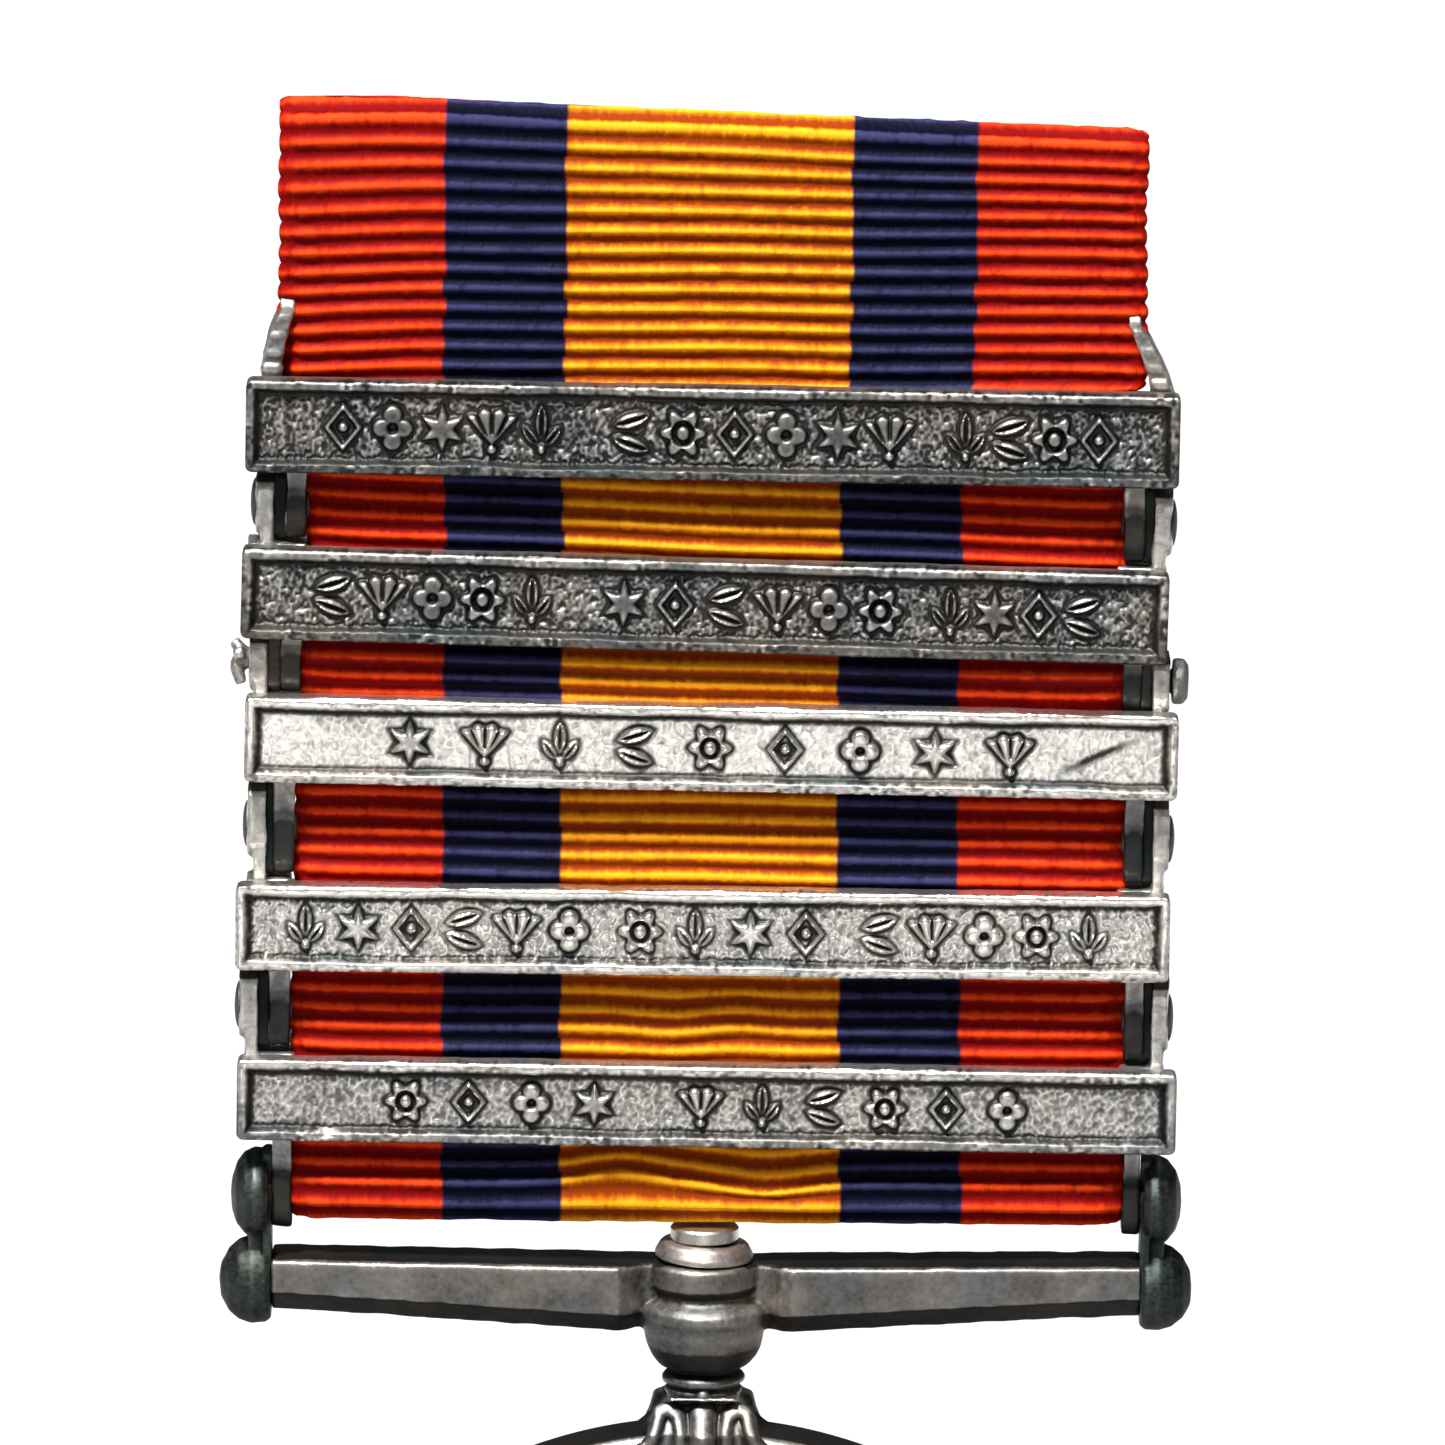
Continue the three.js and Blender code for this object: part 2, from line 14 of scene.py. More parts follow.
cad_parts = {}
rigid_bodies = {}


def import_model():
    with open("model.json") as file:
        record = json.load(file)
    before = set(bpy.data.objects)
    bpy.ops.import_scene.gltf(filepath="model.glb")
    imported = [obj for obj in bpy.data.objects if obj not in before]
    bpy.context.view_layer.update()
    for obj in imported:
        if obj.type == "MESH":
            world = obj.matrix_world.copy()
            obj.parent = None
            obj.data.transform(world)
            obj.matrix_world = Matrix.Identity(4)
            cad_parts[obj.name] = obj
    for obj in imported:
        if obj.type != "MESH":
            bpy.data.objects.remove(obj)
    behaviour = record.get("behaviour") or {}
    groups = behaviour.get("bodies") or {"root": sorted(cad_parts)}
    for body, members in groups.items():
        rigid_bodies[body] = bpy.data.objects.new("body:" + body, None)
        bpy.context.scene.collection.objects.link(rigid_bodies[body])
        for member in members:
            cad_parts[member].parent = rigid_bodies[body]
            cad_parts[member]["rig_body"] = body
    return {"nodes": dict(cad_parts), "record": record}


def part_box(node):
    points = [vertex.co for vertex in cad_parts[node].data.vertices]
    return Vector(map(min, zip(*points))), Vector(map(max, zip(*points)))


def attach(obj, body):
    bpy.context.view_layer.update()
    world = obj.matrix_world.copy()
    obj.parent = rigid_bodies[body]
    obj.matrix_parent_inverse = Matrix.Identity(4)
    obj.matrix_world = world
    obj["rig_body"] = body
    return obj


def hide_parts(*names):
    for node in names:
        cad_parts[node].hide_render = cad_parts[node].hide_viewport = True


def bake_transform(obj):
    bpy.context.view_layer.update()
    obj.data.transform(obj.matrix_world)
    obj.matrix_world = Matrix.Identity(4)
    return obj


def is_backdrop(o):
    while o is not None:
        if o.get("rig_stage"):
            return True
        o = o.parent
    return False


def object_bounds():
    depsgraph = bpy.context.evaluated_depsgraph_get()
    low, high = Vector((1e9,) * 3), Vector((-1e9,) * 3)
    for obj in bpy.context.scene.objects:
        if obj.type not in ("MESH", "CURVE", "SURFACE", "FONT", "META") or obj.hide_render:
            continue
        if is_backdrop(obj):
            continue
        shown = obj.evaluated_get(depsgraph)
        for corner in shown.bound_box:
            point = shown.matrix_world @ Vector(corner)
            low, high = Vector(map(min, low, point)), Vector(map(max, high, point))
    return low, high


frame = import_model()
cad_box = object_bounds()

MM = 0.001
CLASP_COUNT = 5
RIB = 0.73  # pitch of the ribbon's cross ribs
STRIPES = (6.0, 4.5, 10.5, 4.6, 6.4)  # red, navy, orange, navy, red, from the left

SIGNS = {"left": -1, "right": 1}

JOINTS = {j["name"]: j for j in frame["record"]["behaviour"]["joints"]}


# ---- places read from the frame -----------------------------------------------------------------


def box_mm(node):
    low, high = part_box(node)
    return np.array(low) / MM, np.array(high) / MM


def joint_mm(name):
    return np.array(JOINTS[name]["pos_m"]) / MM


class Place:
    """The local frame of a piece that hangs a little askew: a centre and a turn about Y."""

    def __init__(self, centre, droop):
        self.centre = np.array(centre, float)
        self.droop = droop

    def out(self, points):
        """Local points to the row frame."""
        p = np.atleast_2d(np.asarray(points, float))
        c, s = math.cos(self.droop), math.sin(self.droop)
        turned = np.stack([c * p[:, 0] + s * p[:, 2], p[:, 1], c * p[:, 2] - s * p[:, 0]], 1)
        return turned + self.centre

    def into(self, points):
        """Row-frame points to local ones."""
        p = np.atleast_2d(np.asarray(points, float)) - self.centre
        c, s = math.cos(self.droop), math.sin(self.droop)
        return np.stack([c * p[:, 0] - s * p[:, 2], p[:, 1], c * p[:, 2] + s * p[:, 0]], 1)


def read_array(items, name, width=1, kind=float):
    """One number or vector for each of a mesh's items, as an array."""
    flat = np.empty(len(items) * width, kind)
    items.foreach_get(name, flat)
    return flat.reshape(-1, width) if width > 1 else flat


def points_mm(mesh):
    return read_array(mesh.vertices, "co", 3) / MM


def node_points(node):
    return points_mm(frame["nodes"][node].data)


MID_Y = joint_mm("suspender_hinge")[1]  # the plane of the rivets, the rod and the disc


def clasp_place(k):
    """The clasp's own frame, from the two ends of its straight rear strap."""
    points = node_points(f"clasp_{k}_back")
    middle = points[:, 0].mean()
    left = points[points[:, 0] < middle].mean(0)
    right = points[points[:, 0] > middle].mean(0)
    centre = (left + right) / 2
    along = right - left
    return Place((centre[0], MID_Y, centre[2]), -math.atan2(along[2], along[0]))


CLASPS = {k: clasp_place(k) for k in range(1, CLASP_COUNT + 1)}


def local_size(k, part):
    """Low and high corners of a clasp's piece in the clasp's own frame."""
    points = CLASPS[k].into(node_points(f"clasp_{k}_{part}"))
    return points.min(0), points.max(0)


# ---- meshes -------------------------------------------------------------------------------------


def make_mesh(name, points, faces, sharp_angle=None):
    """A mesh object from points in mm in the row frame."""
    mesh = bpy.data.meshes.new(name)
    mesh.from_pydata((np.asarray(points) * MM).tolist(), [], faces)
    mesh.validate()
    mesh.update()
    mesh.shade_smooth()
    if sharp_angle:
        mesh.set_sharp_from_angle(angle=math.radians(sharp_angle))
    obj = bpy.data.objects.new(name, mesh)
    bpy.context.scene.collection.objects.link(obj)
    return obj


def grid_quads(rows, cols, start=0, wrap=False):
    """Faces of a grid of points kept row by row; wrap joins the last column to the first."""
    r = np.arange(rows - 1)[:, None]
    c = np.arange(cols if wrap else cols - 1)[None, :]
    d = (c + 1) % cols
    quads = [r * cols + c, r * cols + d, (r + 1) * cols + d, (r + 1) * cols + c]
    corners = np.stack(np.broadcast_arrays(*quads), -1).reshape(-1, 4) + start
    return [tuple(face) for face in corners.tolist()]


def rim_indices(rows, cols):
    """Indices round the border of a grid, in order."""
    return ([c for c in range(cols)]
            + [r * cols + cols - 1 for r in range(1, rows)]
            + [(rows - 1) * cols + c for c in range(cols - 2, -1, -1)]
            + [r * cols for r in range(rows - 2, 0, -1)])


def smooth_step(x, low, high):
    t = np.clip((x - low) / (high - low), 0, 1)
    return t * t * (3 - 2 * t)


def value_noise(shape, cell, seed):
    """Smooth seeded noise on a 2D grid, about -1 to 1; cell is its grain in grid steps."""
    size = [math.ceil(n / cell) + 3 for n in shape]
    coarse = np.random.default_rng(seed).uniform(-1, 1, size)
    ys, xs = np.arange(shape[0]) / cell, np.arange(shape[1]) / cell
    y0, x0 = ys.astype(int), xs.astype(int)
    fy, fx = smooth_step(ys - y0, 0, 1)[:, None], smooth_step(xs - x0, 0, 1)[None, :]
    a = coarse[y0][:, x0] * (1 - fx) + coarse[y0][:, x0 + 1] * fx
    b = coarse[y0 + 1][:, x0] * (1 - fx) + coarse[y0 + 1][:, x0 + 1] * fx
    return a * (1 - fy) + b * fy


def blur(field, steps):
    """A box-like blur of a 2D field, by repeated neighbour averages."""
    out = field.astype(float)
    for _ in range(steps):
        for axis in (0, 1):
            padded = np.concatenate([out.take([0], axis), out, out.take([-1], axis)], axis)
            n = out.shape[axis]
            first = padded.take(range(0, n), axis)
            last = padded.take(range(2, n + 2), axis)
            out = (first + 2 * out + last) / 4
    return out


def store(obj, name, values):
    """A number for each vertex, which the material reads by name."""
    attribute = obj.data.attributes.new(name, "FLOAT", "POINT")
    attribute.data.foreach_set("value", np.asarray(values, np.float32))


def store_curvature(obj, reach=3, gain=4.0):
    """Stores how far each vertex stands proud of (+) or under (-) its surroundings, as the wear
    attribute, to which some pieces later add painted shade and highlight.
    """
    mesh = obj.data
    points = points_mm(mesh)
    normals = read_array(mesh.vertices, "normal", 3)
    a, b = read_array(mesh.edges, "vertices", 2, int).T
    n = len(points)
    degree = np.bincount(a, minlength=n) + np.bincount(b, minlength=n)
    degree = np.maximum(degree, 1)[:, None]
    soft = points.copy()
    for _ in range(reach):
        total = np.zeros_like(soft)
        np.add.at(total, a, soft[b])
        np.add.at(total, b, soft[a])
        soft = (soft + total / degree) / 2
    proud = ((points - soft) * normals).sum(1)
    store(obj, "wear_and_shade", np.clip(proud * gain, -1, 1))


def add_wear_and_shade(obj, change):
    """Adds painted light to a piece's stored wear attribute, a number for each vertex: + is a
    painted highlight, - is painted shade.
    """
    stored = obj.data.attributes["wear_and_shade"].data
    stored.foreach_set("value", (read_array(stored, "value") + change).astype(np.float32))


class Lump:
    """Closed solids in mm that are fused into one cast piece by a voxel remesh."""

    def __init__(self):
        self.solids = bmesh.new()
        self.cuts = bmesh.new()

    def add(self, points, faces, cut=False):
        target = self.cuts if cut else self.solids
        verts = [target.verts.new(p) for p in np.asarray(points, float).tolist()]
        for face in faces:
            target.faces.new([verts[i] for i in face])

    def block(self, low, high, cut=False):
        corners = [
            (x, y, z)
            for z in (low[2], high[2])
            for y in (low[1], high[1])
            for x in (low[0], high[0])
        ]
        faces = [
            (0, 2, 3, 1), (4, 5, 7, 6), (0, 1, 5, 4),
            (2, 6, 7, 3), (0, 4, 6, 2), (1, 3, 7, 5),
        ]
        self.add(corners, faces, cut)

    def turned(self, profile, origin, axis, sides=48, cut=False):
        """A profile of (distance along the axis, radius) points turned about the axis."""
        points, faces = lathe(profile, origin, axis, sides)
        self.add(points, faces, cut)

    def prism(self, outline, low, high, axis, cut=False):
        """An outline in the two other directions, drawn out from low to high along an axis."""
        n = len(outline)
        others = [i for i in range(3) if i != axis]
        points = []
        for level in (low, high):
            for a, b in outline:
                p = [0.0, 0.0, 0.0]
                p[axis], p[others[0]], p[others[1]] = level, a, b
                points.append(p)
        sides = [(i, (i + 1) % n, n + (i + 1) % n, n + i) for i in range(n)]
        faces = sides + [tuple(reversed(range(n))), tuple(range(n, 2 * n))]
        self.add(points, faces, cut)

    def cast(self, name, voxel=0.07, smooth=4, place=None, rough=0.0, seed=1, reach=8, gain=9.0,
             bend=None):
        """Fuses the solids, cuts the cuts and returns the piece, in the row frame."""
        for mesh in (self.solids, self.cuts):
            bmesh.ops.recalc_face_normals(mesh, faces=mesh.faces)
        work = temporary(self.solids)
        work = remeshed(work, voxel)
        if len(self.cuts.verts):
            cutter = temporary(self.cuts)
            tool = work.modifiers.new("cut", "BOOLEAN")
            tool.operation, tool.object, tool.solver = "DIFFERENCE", cutter, "EXACT"
            work = applied(work)
            bpy.data.objects.remove(cutter)
            work = remeshed(work, voxel)
        tool = work.modifiers.new("soften", "SMOOTH")
        tool.factor, tool.iterations = 0.5, smooth
        work = applied(work)
        points = read_array(work.data.vertices, "co", 3)
        if rough:
            normals = read_array(work.data.vertices, "normal", 3)
            points = points + normals * (rough * ripple(points, seed))[:, None]
        if bend:
            points = bend(points)
        faces = [tuple(p.vertices) for p in work.data.polygons]
        bpy.data.objects.remove(work)
        piece = make_mesh(name, place.out(points) if place else points, faces)
        store_curvature(piece, reach, gain)
        return piece


def ripple(points, seed):
    """Gentle seeded waves over a piece, about -1 to 1, as hand filing leaves them."""
    rng = np.random.default_rng(seed)
    out = np.zeros(len(points))
    for wave in (1.9, 1.1, 0.6):
        for _ in range(4):
            way = rng.normal(size=3)
            way *= 2 * math.pi / (wave * np.linalg.norm(way))
            out += np.sin(points @ way + rng.uniform(0, 6.28)) * wave / 9
    return out


def temporary(solid):
    mesh = bpy.data.meshes.new("work")
    solid.to_mesh(mesh)
    obj = bpy.data.objects.new("work", mesh)
    bpy.context.scene.collection.objects.link(obj)
    return obj


def applied(obj):
    """The object's evaluated shape as a new plain object; the old one is removed."""
    graph = bpy.context.evaluated_depsgraph_get()
    mesh = bpy.data.meshes.new_from_object(obj.evaluated_get(graph))
    new = bpy.data.objects.new("work", mesh)
    bpy.context.scene.collection.objects.link(new)
    bpy.data.objects.remove(obj)
    return new


def remeshed(obj, voxel):
    tool = obj.modifiers.new("fuse", "REMESH")
    tool.mode, tool.voxel_size, tool.adaptivity = "VOXEL", voxel, 0
    return applied(obj)


def axis_frame(axis):
    """Two unit vectors square to the axis."""
    axis = np.asarray(axis, float) / np.linalg.norm(axis)
    helper = np.array([0, 0, 1.0]) if abs(axis[2]) < 0.9 else np.array([1.0, 0, 0])
    u = np.cross(helper, axis)
    u /= np.linalg.norm(u)
    return axis, u, np.cross(axis, u)


def lathe(profile, origin, axis, sides):
    """Points and faces of (along, radius) pairs turned about an axis; the ends are closed."""
    axis, u, v = axis_frame(axis)
    origin = np.asarray(origin, float)
    angles = np.linspace(0, 2 * math.pi, sides, endpoint=False)
    ring = np.outer(np.cos(angles), u) + np.outer(np.sin(angles), v)
    inner = [(a, r) for a, r in profile if r > 1e-6]
    points = np.concatenate([origin + axis * a + ring * r for a, r in inner])
    faces = grid_quads(len(inner), sides, wrap=True)
    last = (len(inner) - 1) * sides
    tips = [origin + axis * profile[0][0], origin + axis * profile[-1][0]]
    for tip, start, flip in ((len(points), 0, True), (len(points) + 1, last, False)):
        for i in range(sides):
            j = (i + 1) % sides
            faces.append((tip, start + j, start + i) if flip else (tip, start + i, start + j))
    return np.concatenate([points, tips]), faces


def cylinder(low, high, radius):
    """The profile of a plain cylinder between two distances along its axis."""
    return [(low, 0), (low, radius), (high, radius), (high, 0)]


def turned_piece(name, profile, origin, axis, sides):
    """A piece turned on a lathe, with crisp edges."""
    points, faces = lathe(profile, origin, axis, sides)
    piece = make_mesh(name, points, faces, 40)
    store_curvature(piece)
    return piece


def arc(centre, radius, start, end, steps):
    """Points on an arc, in degrees."""
    angles = np.radians(np.linspace(start, end, steps + 1))
    return [(centre[0] + radius * math.cos(t), centre[1] + radius * math.sin(t)) for t in angles]


def capsule(piece, start, end, r_start, r_end, sides=20):
    """A rod with round ends between two points."""
    way = np.subtract(end, start)
    size = float(np.linalg.norm(way))
    near = [(-r_start * math.cos(t), r_start * math.sin(t)) for t in np.linspace(0, 1.45, 6)]
    far = [(size + r_end * math.sin(t), r_end * math.cos(t)) for t in np.linspace(0.12, 1.57, 6)]
    piece.turned([(-r_start, 0)] + near[1:] + far[:-1] + [(size + r_end, 0)], start, way, sides)


# ---- materials ----------------------------------------------------------------------------------


class Nodes:
    """The node tree of a material or world, with one short call for each kind of node."""

    def __init__(self, owner, shader="Principled BSDF"):
        self.owner = owner
        owner.use_nodes = True
        self.tree = owner.node_tree
        self.shader = self.tree.nodes[shader]

    def node(self, kind, **settings):
        node = self.tree.nodes.new(kind)
        for key, value in settings.items():
            setattr(node, key, value)
        return node

    def link(self, source, target):
        self.tree.links.new(source, target)

    def feed(self, socket, value):
        if isinstance(value, bpy.types.NodeSocket):
            self.link(value, socket)
        else:
            socket.default_value = value

    def attribute(self, name):
        return self.node("ShaderNodeAttribute", attribute_name=name).outputs["Fac"]

    def place(self):
        return self.node("ShaderNodeTexCoord").outputs["Object"]

    def math(self, operation, a, b=0.0):
        node = self.node("ShaderNodeMath", operation=operation)
        for socket, value in zip(node.inputs, (a, b)):
            self.feed(socket, value)
        return node.outputs[0]

    def noise(self, scale, detail=2.0, rough=0.5, vector=None):
        node = self.node("ShaderNodeTexNoise")
        self.link(vector or self.place(), node.inputs["Vector"])
        node.inputs["Scale"].default_value = scale
        node.inputs["Detail"].default_value = detail
        node.inputs["Roughness"].default_value = rough
        return node.outputs["Fac"]

    def stretched(self, scale):
        node = self.node("ShaderNodeMapping")
        self.link(self.place(), node.inputs["Vector"])
        node.inputs["Scale"].default_value = scale
        return node.outputs["Vector"]

    def span(self, value, low, high, to_low=0.0, to_high=1.0):
        node = self.node("ShaderNodeMapRange", clamp=True)
        for socket, number in zip(node.inputs, (value, low, high, to_low, to_high)):
            self.feed(socket, number)
        return node.outputs[0]

    def mix(self, factor, a, b):
        node = self.node("ShaderNodeMix", data_type="RGBA")
        self.feed(node.inputs["Factor"], factor)
        for socket, value in zip((node.inputs[6], node.inputs[7]), (a, b)):
            self.feed(socket, (*value, 1.0) if isinstance(value, tuple) else value)
        return node.outputs[2]

    def ramp(self, value, stops):
        node = self.node("ShaderNodeValToRGB")
        self.feed(node.inputs[0], value)
        ramp = node.color_ramp
        while len(ramp.elements) < len(stops):
            ramp.elements.new(0.5)
        for element, (at, colour) in zip(ramp.elements, stops):
            element.position = at
            element.color = (*colour, 1.0)
        return node.outputs[0]

    def bump(self, height, strength, distance):
        node = self.node("ShaderNodeBump")
        self.link(height, node.inputs["Height"])
        node.inputs["Strength"].default_value = strength
        node.inputs["Distance"].default_value = distance
        self.link(node.outputs[0], self.shader.inputs["Normal"])


def scaled(colour, share):
    return tuple(c * share for c in colour)


def silver(name, tone, bright=0.92, rough=0.35, warmth=0.5, grain=1.0, body=1.0):
    """Old silver: bright where it stands proud, dark with patina in the hollows, lighter where a
    piece's wear attribute carries a painted highlight and darker where it carries painted shade.
    tone 0 is clean, 1 is dark.
    """
    n = Nodes(bpy.data.materials.new(name))
    wear_and_shade = n.attribute("wear_and_shade")
    patches = n.noise(420.0, 3.0, 0.6)
    fine = n.noise(5200.0, 3.0, 0.6)
    hues = n.noise(260.0, 2.0, 0.5)
    worn_and_shaded = n.math("ADD", wear_and_shade, n.math("MULTIPLY", n.math("SUBTRACT", patches, 0.5), 0.55))
    worn_and_shaded = n.math("ADD", worn_and_shaded, n.math("MULTIPLY", n.math("SUBTRACT", fine, 0.5), 0.5))
    toned = n.mix(
        n.span(hues, 0.36, 0.64),
        scaled((0.032 + 0.014 * warmth, 0.044, 0.043), body),
        scaled((0.060 + 0.030 * warmth, 0.067, 0.059), body),
    )
    middle = n.mix(
        n.span(hues, 0.38, 0.62),
        scaled((0.265 + 0.06 * warmth, 0.300, 0.300), body),
        scaled((0.360 + 0.10 * warmth, 0.372, 0.330), body),
    )
    clean = (bright, bright * 0.96, bright * 0.89)
    low = n.span(worn_and_shaded, -0.45 + 0.35 * tone, 0.02 + 0.35 * tone)
    high = n.span(worn_and_shaded, 0.0 + 0.4 * tone, 0.42 + 0.5 * tone)
    colour = n.mix(low, toned, middle)
    colour = n.mix(high, colour, clean)
    n.link(colour, n.shader.inputs["Base Color"])
    n.shader.inputs["Metallic"].default_value = 1.0
    roughness = n.math("ADD", n.span(high, 0.0, 1.0, rough + 0.16, rough - 0.04),
                       n.span(fine, 0.3, 0.7, -0.05, 0.08))
    n.link(roughness, n.shader.inputs["Roughness"])
    scratches = n.noise(900.0, 2.0, 0.5, vector=n.stretched((1.0, 1.0, 9.0)))
    height = n.math("ADD", n.math("MULTIPLY", fine, 0.7), n.math("MULTIPLY", scratches, 0.3))
    n.bump(height, 0.35 * grain, 0.00004)
    return n.owner


def steel(name):
    """Drawn spring wire with fine lines round it."""
    n = Nodes(bpy.data.materials.new(name))
    lines = n.noise(1500.0, 2.0, 0.5, vector=n.stretched((6.0, 1.0, 1.0)))
    spots = n.noise(500.0, 3.0, 0.6)
    colour = n.mix(n.span(spots, 0.4, 0.62), (0.30, 0.29, 0.28), (0.60, 0.59, 0.57))
    n.link(colour, n.shader.inputs["Base Color"])
    n.shader.inputs["Metallic"].default_value = 1.0
    n.link(n.span(lines, 0.3, 0.7, 0.25, 0.42), n.shader.inputs["Roughness"])
    n.bump(lines, 0.3, 0.00003)
    return n.owner


def ribbon_cloth(name):
    """Corded silk in five stripes. The UV map holds (mm across the cut, count of ribs down it)."""
    n = Nodes(bpy.data.materials.new(name))
    uv = n.node("ShaderNodeUVMap", uv_map="weave").outputs[0]
    split = n.node("ShaderNodeSeparateXYZ")
    n.link(uv, split.inputs[0])
    across, ribs = split.outputs[0], split.outputs[1]
    height = n.attribute("rib")
    step = n.node("ShaderNodeTexWhiteNoise", noise_dimensions="1D")
    n.link(n.math("FLOOR", ribs), step.inputs["W"])
    shift = n.math("MULTIPLY", n.math("SUBTRACT", step.outputs["Value"], 0.5), 0.16)
    place = n.math("ADD", across, shift)
    half = sum(STRIPES) / 2
    edges = np.cumsum(STRIPES)[:-1] - half
    thread = n.node("ShaderNodeCombineXYZ")
    n.link(n.math("MULTIPLY", across, 3.4), thread.inputs[0])
    n.link(n.math("MULTIPLY", ribs, 1.2), thread.inputs[1])
    yarn = n.noise(1.0, 3.0, 0.6, vector=thread.outputs[0])
    # painted light: each stripe's colour runs from painted shade in a cord's valley to a painted
    # highlight on its ridge, following the stored rib shade
    lit = n.span(n.math("ADD", height, n.math("MULTIPLY", n.math("SUBTRACT", yarn, 0.5), 0.9)),
                 0.12, 0.88)
    red = n.ramp(lit, [(0, (0.19, 0.001, 0.001)), (0.5, (0.40, 0.010, 0.002)),
                       (1, (0.84, 0.058, 0.007))])
    navy = n.ramp(lit, [(0, (0.001, 0.001, 0.009)), (0.5, (0.005, 0.005, 0.026)),
                        (1, (0.034, 0.034, 0.100))])
    orange = n.ramp(lit, [(0, (0.27, 0.036, 0.001)), (0.5, (0.58, 0.140, 0.001)),
                          (1, (1.0, 0.40, 0.012))])
    colour = red
    for edge, stripe in zip(edges, (navy, orange, navy, red)):
        colour = n.mix(n.span(place, edge - 0.06, edge + 0.06), colour, stripe)
    n.link(colour, n.shader.inputs["Base Color"])
    n.link(n.span(yarn, 0.3, 0.7, 0.50, 0.72), n.shader.inputs["Roughness"])
    n.shader.inputs["Specular IOR Level"].default_value = 0.06
    n.bump(yarn, 0.9, 0.00008)
    return n.owner


# tone of each clasp from the top: the upper two are dark, the third is nearly clean; the differences
# are partly tarnish and partly painted shade and highlight for how each clasp faces the light
CLASP_TONES = {1: 0.50, 2: 0.40, 3: -0.85, 4: -1.0, 5: -0.34}
CLASP_SILVER = {k: silver(f"silver_clasp_{k}", t) for k, t in CLASP_TONES.items()}
LUG_SILVER = silver("silver_lugs", 0.10, rough=0.38, grain=2.0)
BAR_SILVER = silver("silver_suspender", 0.42, rough=0.36, body=0.85)
DARK_SILVER = silver("silver_cheeks", 0.90, rough=0.36, warmth=-0.2, bright=0.6, body=0.42)
RIVET_SILVER = silver("silver_rivets", 0.75, rough=0.42, warmth=0.0, bright=0.7, body=0.6)
SWIVEL_SILVER = silver("silver_swivel", -0.2, rough=0.38, warmth=0.8, bright=0.75)
# the claw's dark tone is painted shade, for the shade it hangs in under the suspender
CLAW_SILVER = silver("silver_claw", 0.62, rough=0.30, body=0.8)
DISC_SILVER = silver("silver_disc", 0.30, rough=0.30)
RIBBON = ribbon_cloth("ribbon_cloth")
WIRE = steel("spring_wire")


def dress(obj, material, node):
    """Gives a piece its material and lets it stand for its CAD node."""
    obj.data.materials.clear()
    obj.data.materials.append(material)
    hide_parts(node)


def finish_piece(obj, material, node):
    """Dresses a piece, which then rides on the body of the node it stands for."""
    dress(obj, material, node)
    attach(obj, frame["nodes"][node]["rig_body"])


# ---- ribbon -------------------------------------------------------------------------------------

FOLD_TOP = box_mm("ribbon_fold")[1][2]
FLEX_Z = joint_mm("ribbon_flex")[2]
ROD_Z = joint_mm("suspender_hinge")[2]
THICK = 0.42
RUN_Y = 0.33  # from the middle plane to the middle of the front or rear run
COLUMNS = 110
ROWS_PER_RIB = 9


def line_z(k):
    """Height of the rivet line under clasp k."""
    return joint_mm(f"clasp_hinge_{k}_{k + 1}")[2]


def slot_share(z):
    """1 where the ribbon is inside a clasp's slot, 0 in the open, by height."""
    share = np.zeros_like(z)
    for k, place in CLASPS.items():
        half = (local_size(k, "front")[1][2] - local_size(k, "front")[0][2]) / 2
        away = np.abs(z - place.centre[2])
        share = np.maximum(share, 1 - smooth_step(away, half - 0.70, half - 0.08))
    return share


CLASP_TOP = CLASPS[1].centre[2] + local_size(1, "front")[1][2]


def neck(z):
    """0 above the top clasp, 1 where the ribbon has been squeezed in between its lugs."""
    return smooth_step(-z, -CLASP_TOP - 0.1, -CLASP_TOP + 0.55)


def between_lines(z, values):
    """A value that changes down the ribbon, given at the four rivet lines and at the rod."""
    heights = [line_z(k) for k in range(1, CLASP_COUNT)] + [ROD_Z]
    return np.interp(-z, [-h for h in heights], values)


def threads_at(base_x, z, width):
    """Where the threads lie: the middle stripes keep their width, the outer two take the squeeze."""
    scale = 0.995 * (1 - neck(z)) + neck(z) * between_lines(z, (0.971, 0.968, 0.969, 0.978, 0.983))
    shift = 0.1 * (1 - neck(z)) + neck(z) * between_lines(z, (-0.07, -0.12, -0.11, -0.02, 0.05))
    inner = sum(STRIPES) / 2 - STRIPES[0]
    within = np.clip(base_x, -inner, inner)
    beyond = (np.abs(base_x) - inner).clip(0) / (sum(STRIPES) / 2 - inner)
    placed = within * scale + shift
    return placed * (1 - beyond) + np.sign(base_x) * width * beyond


def half_width(z, right):
    """Half the ribbon's width on one side; the left edge draws in before it meets the clasp."""
    full = 15.90 + 0.07 * smooth_step(-z, 3.6, 6.4)
    at_left = between_lines(z, (14.88, 15.05, 15.30, 15.40, 15.40))
    at_right = between_lines(z, (15.32, 15.32, 15.46, 15.58, 15.54))
    in_slot = np.where(right, at_right, at_left) - 0.4 * slot_share(z)
    return full * (1 - neck(z)) + neck(z) * in_slot


def rib_profile(phase):
    """Height of one cord, 0 in the valley to 1 on the ridge."""
    t = phase - np.floor(phase)
    return (0.5 - 0.5 * np.cos(2 * math.pi * t)) ** 1.4


def yarn_lumps(phase, seed):
    """How much each bit of a cord stands out, from the twist of its yarn."""
    cord = np.floor(phase).astype(int)
    cord -= cord.min()
    table = value_noise((cord.max() + 1, COLUMNS), 1.35, seed)
    return 0.17 * table[cord, np.arange(COLUMNS)[None, :]]


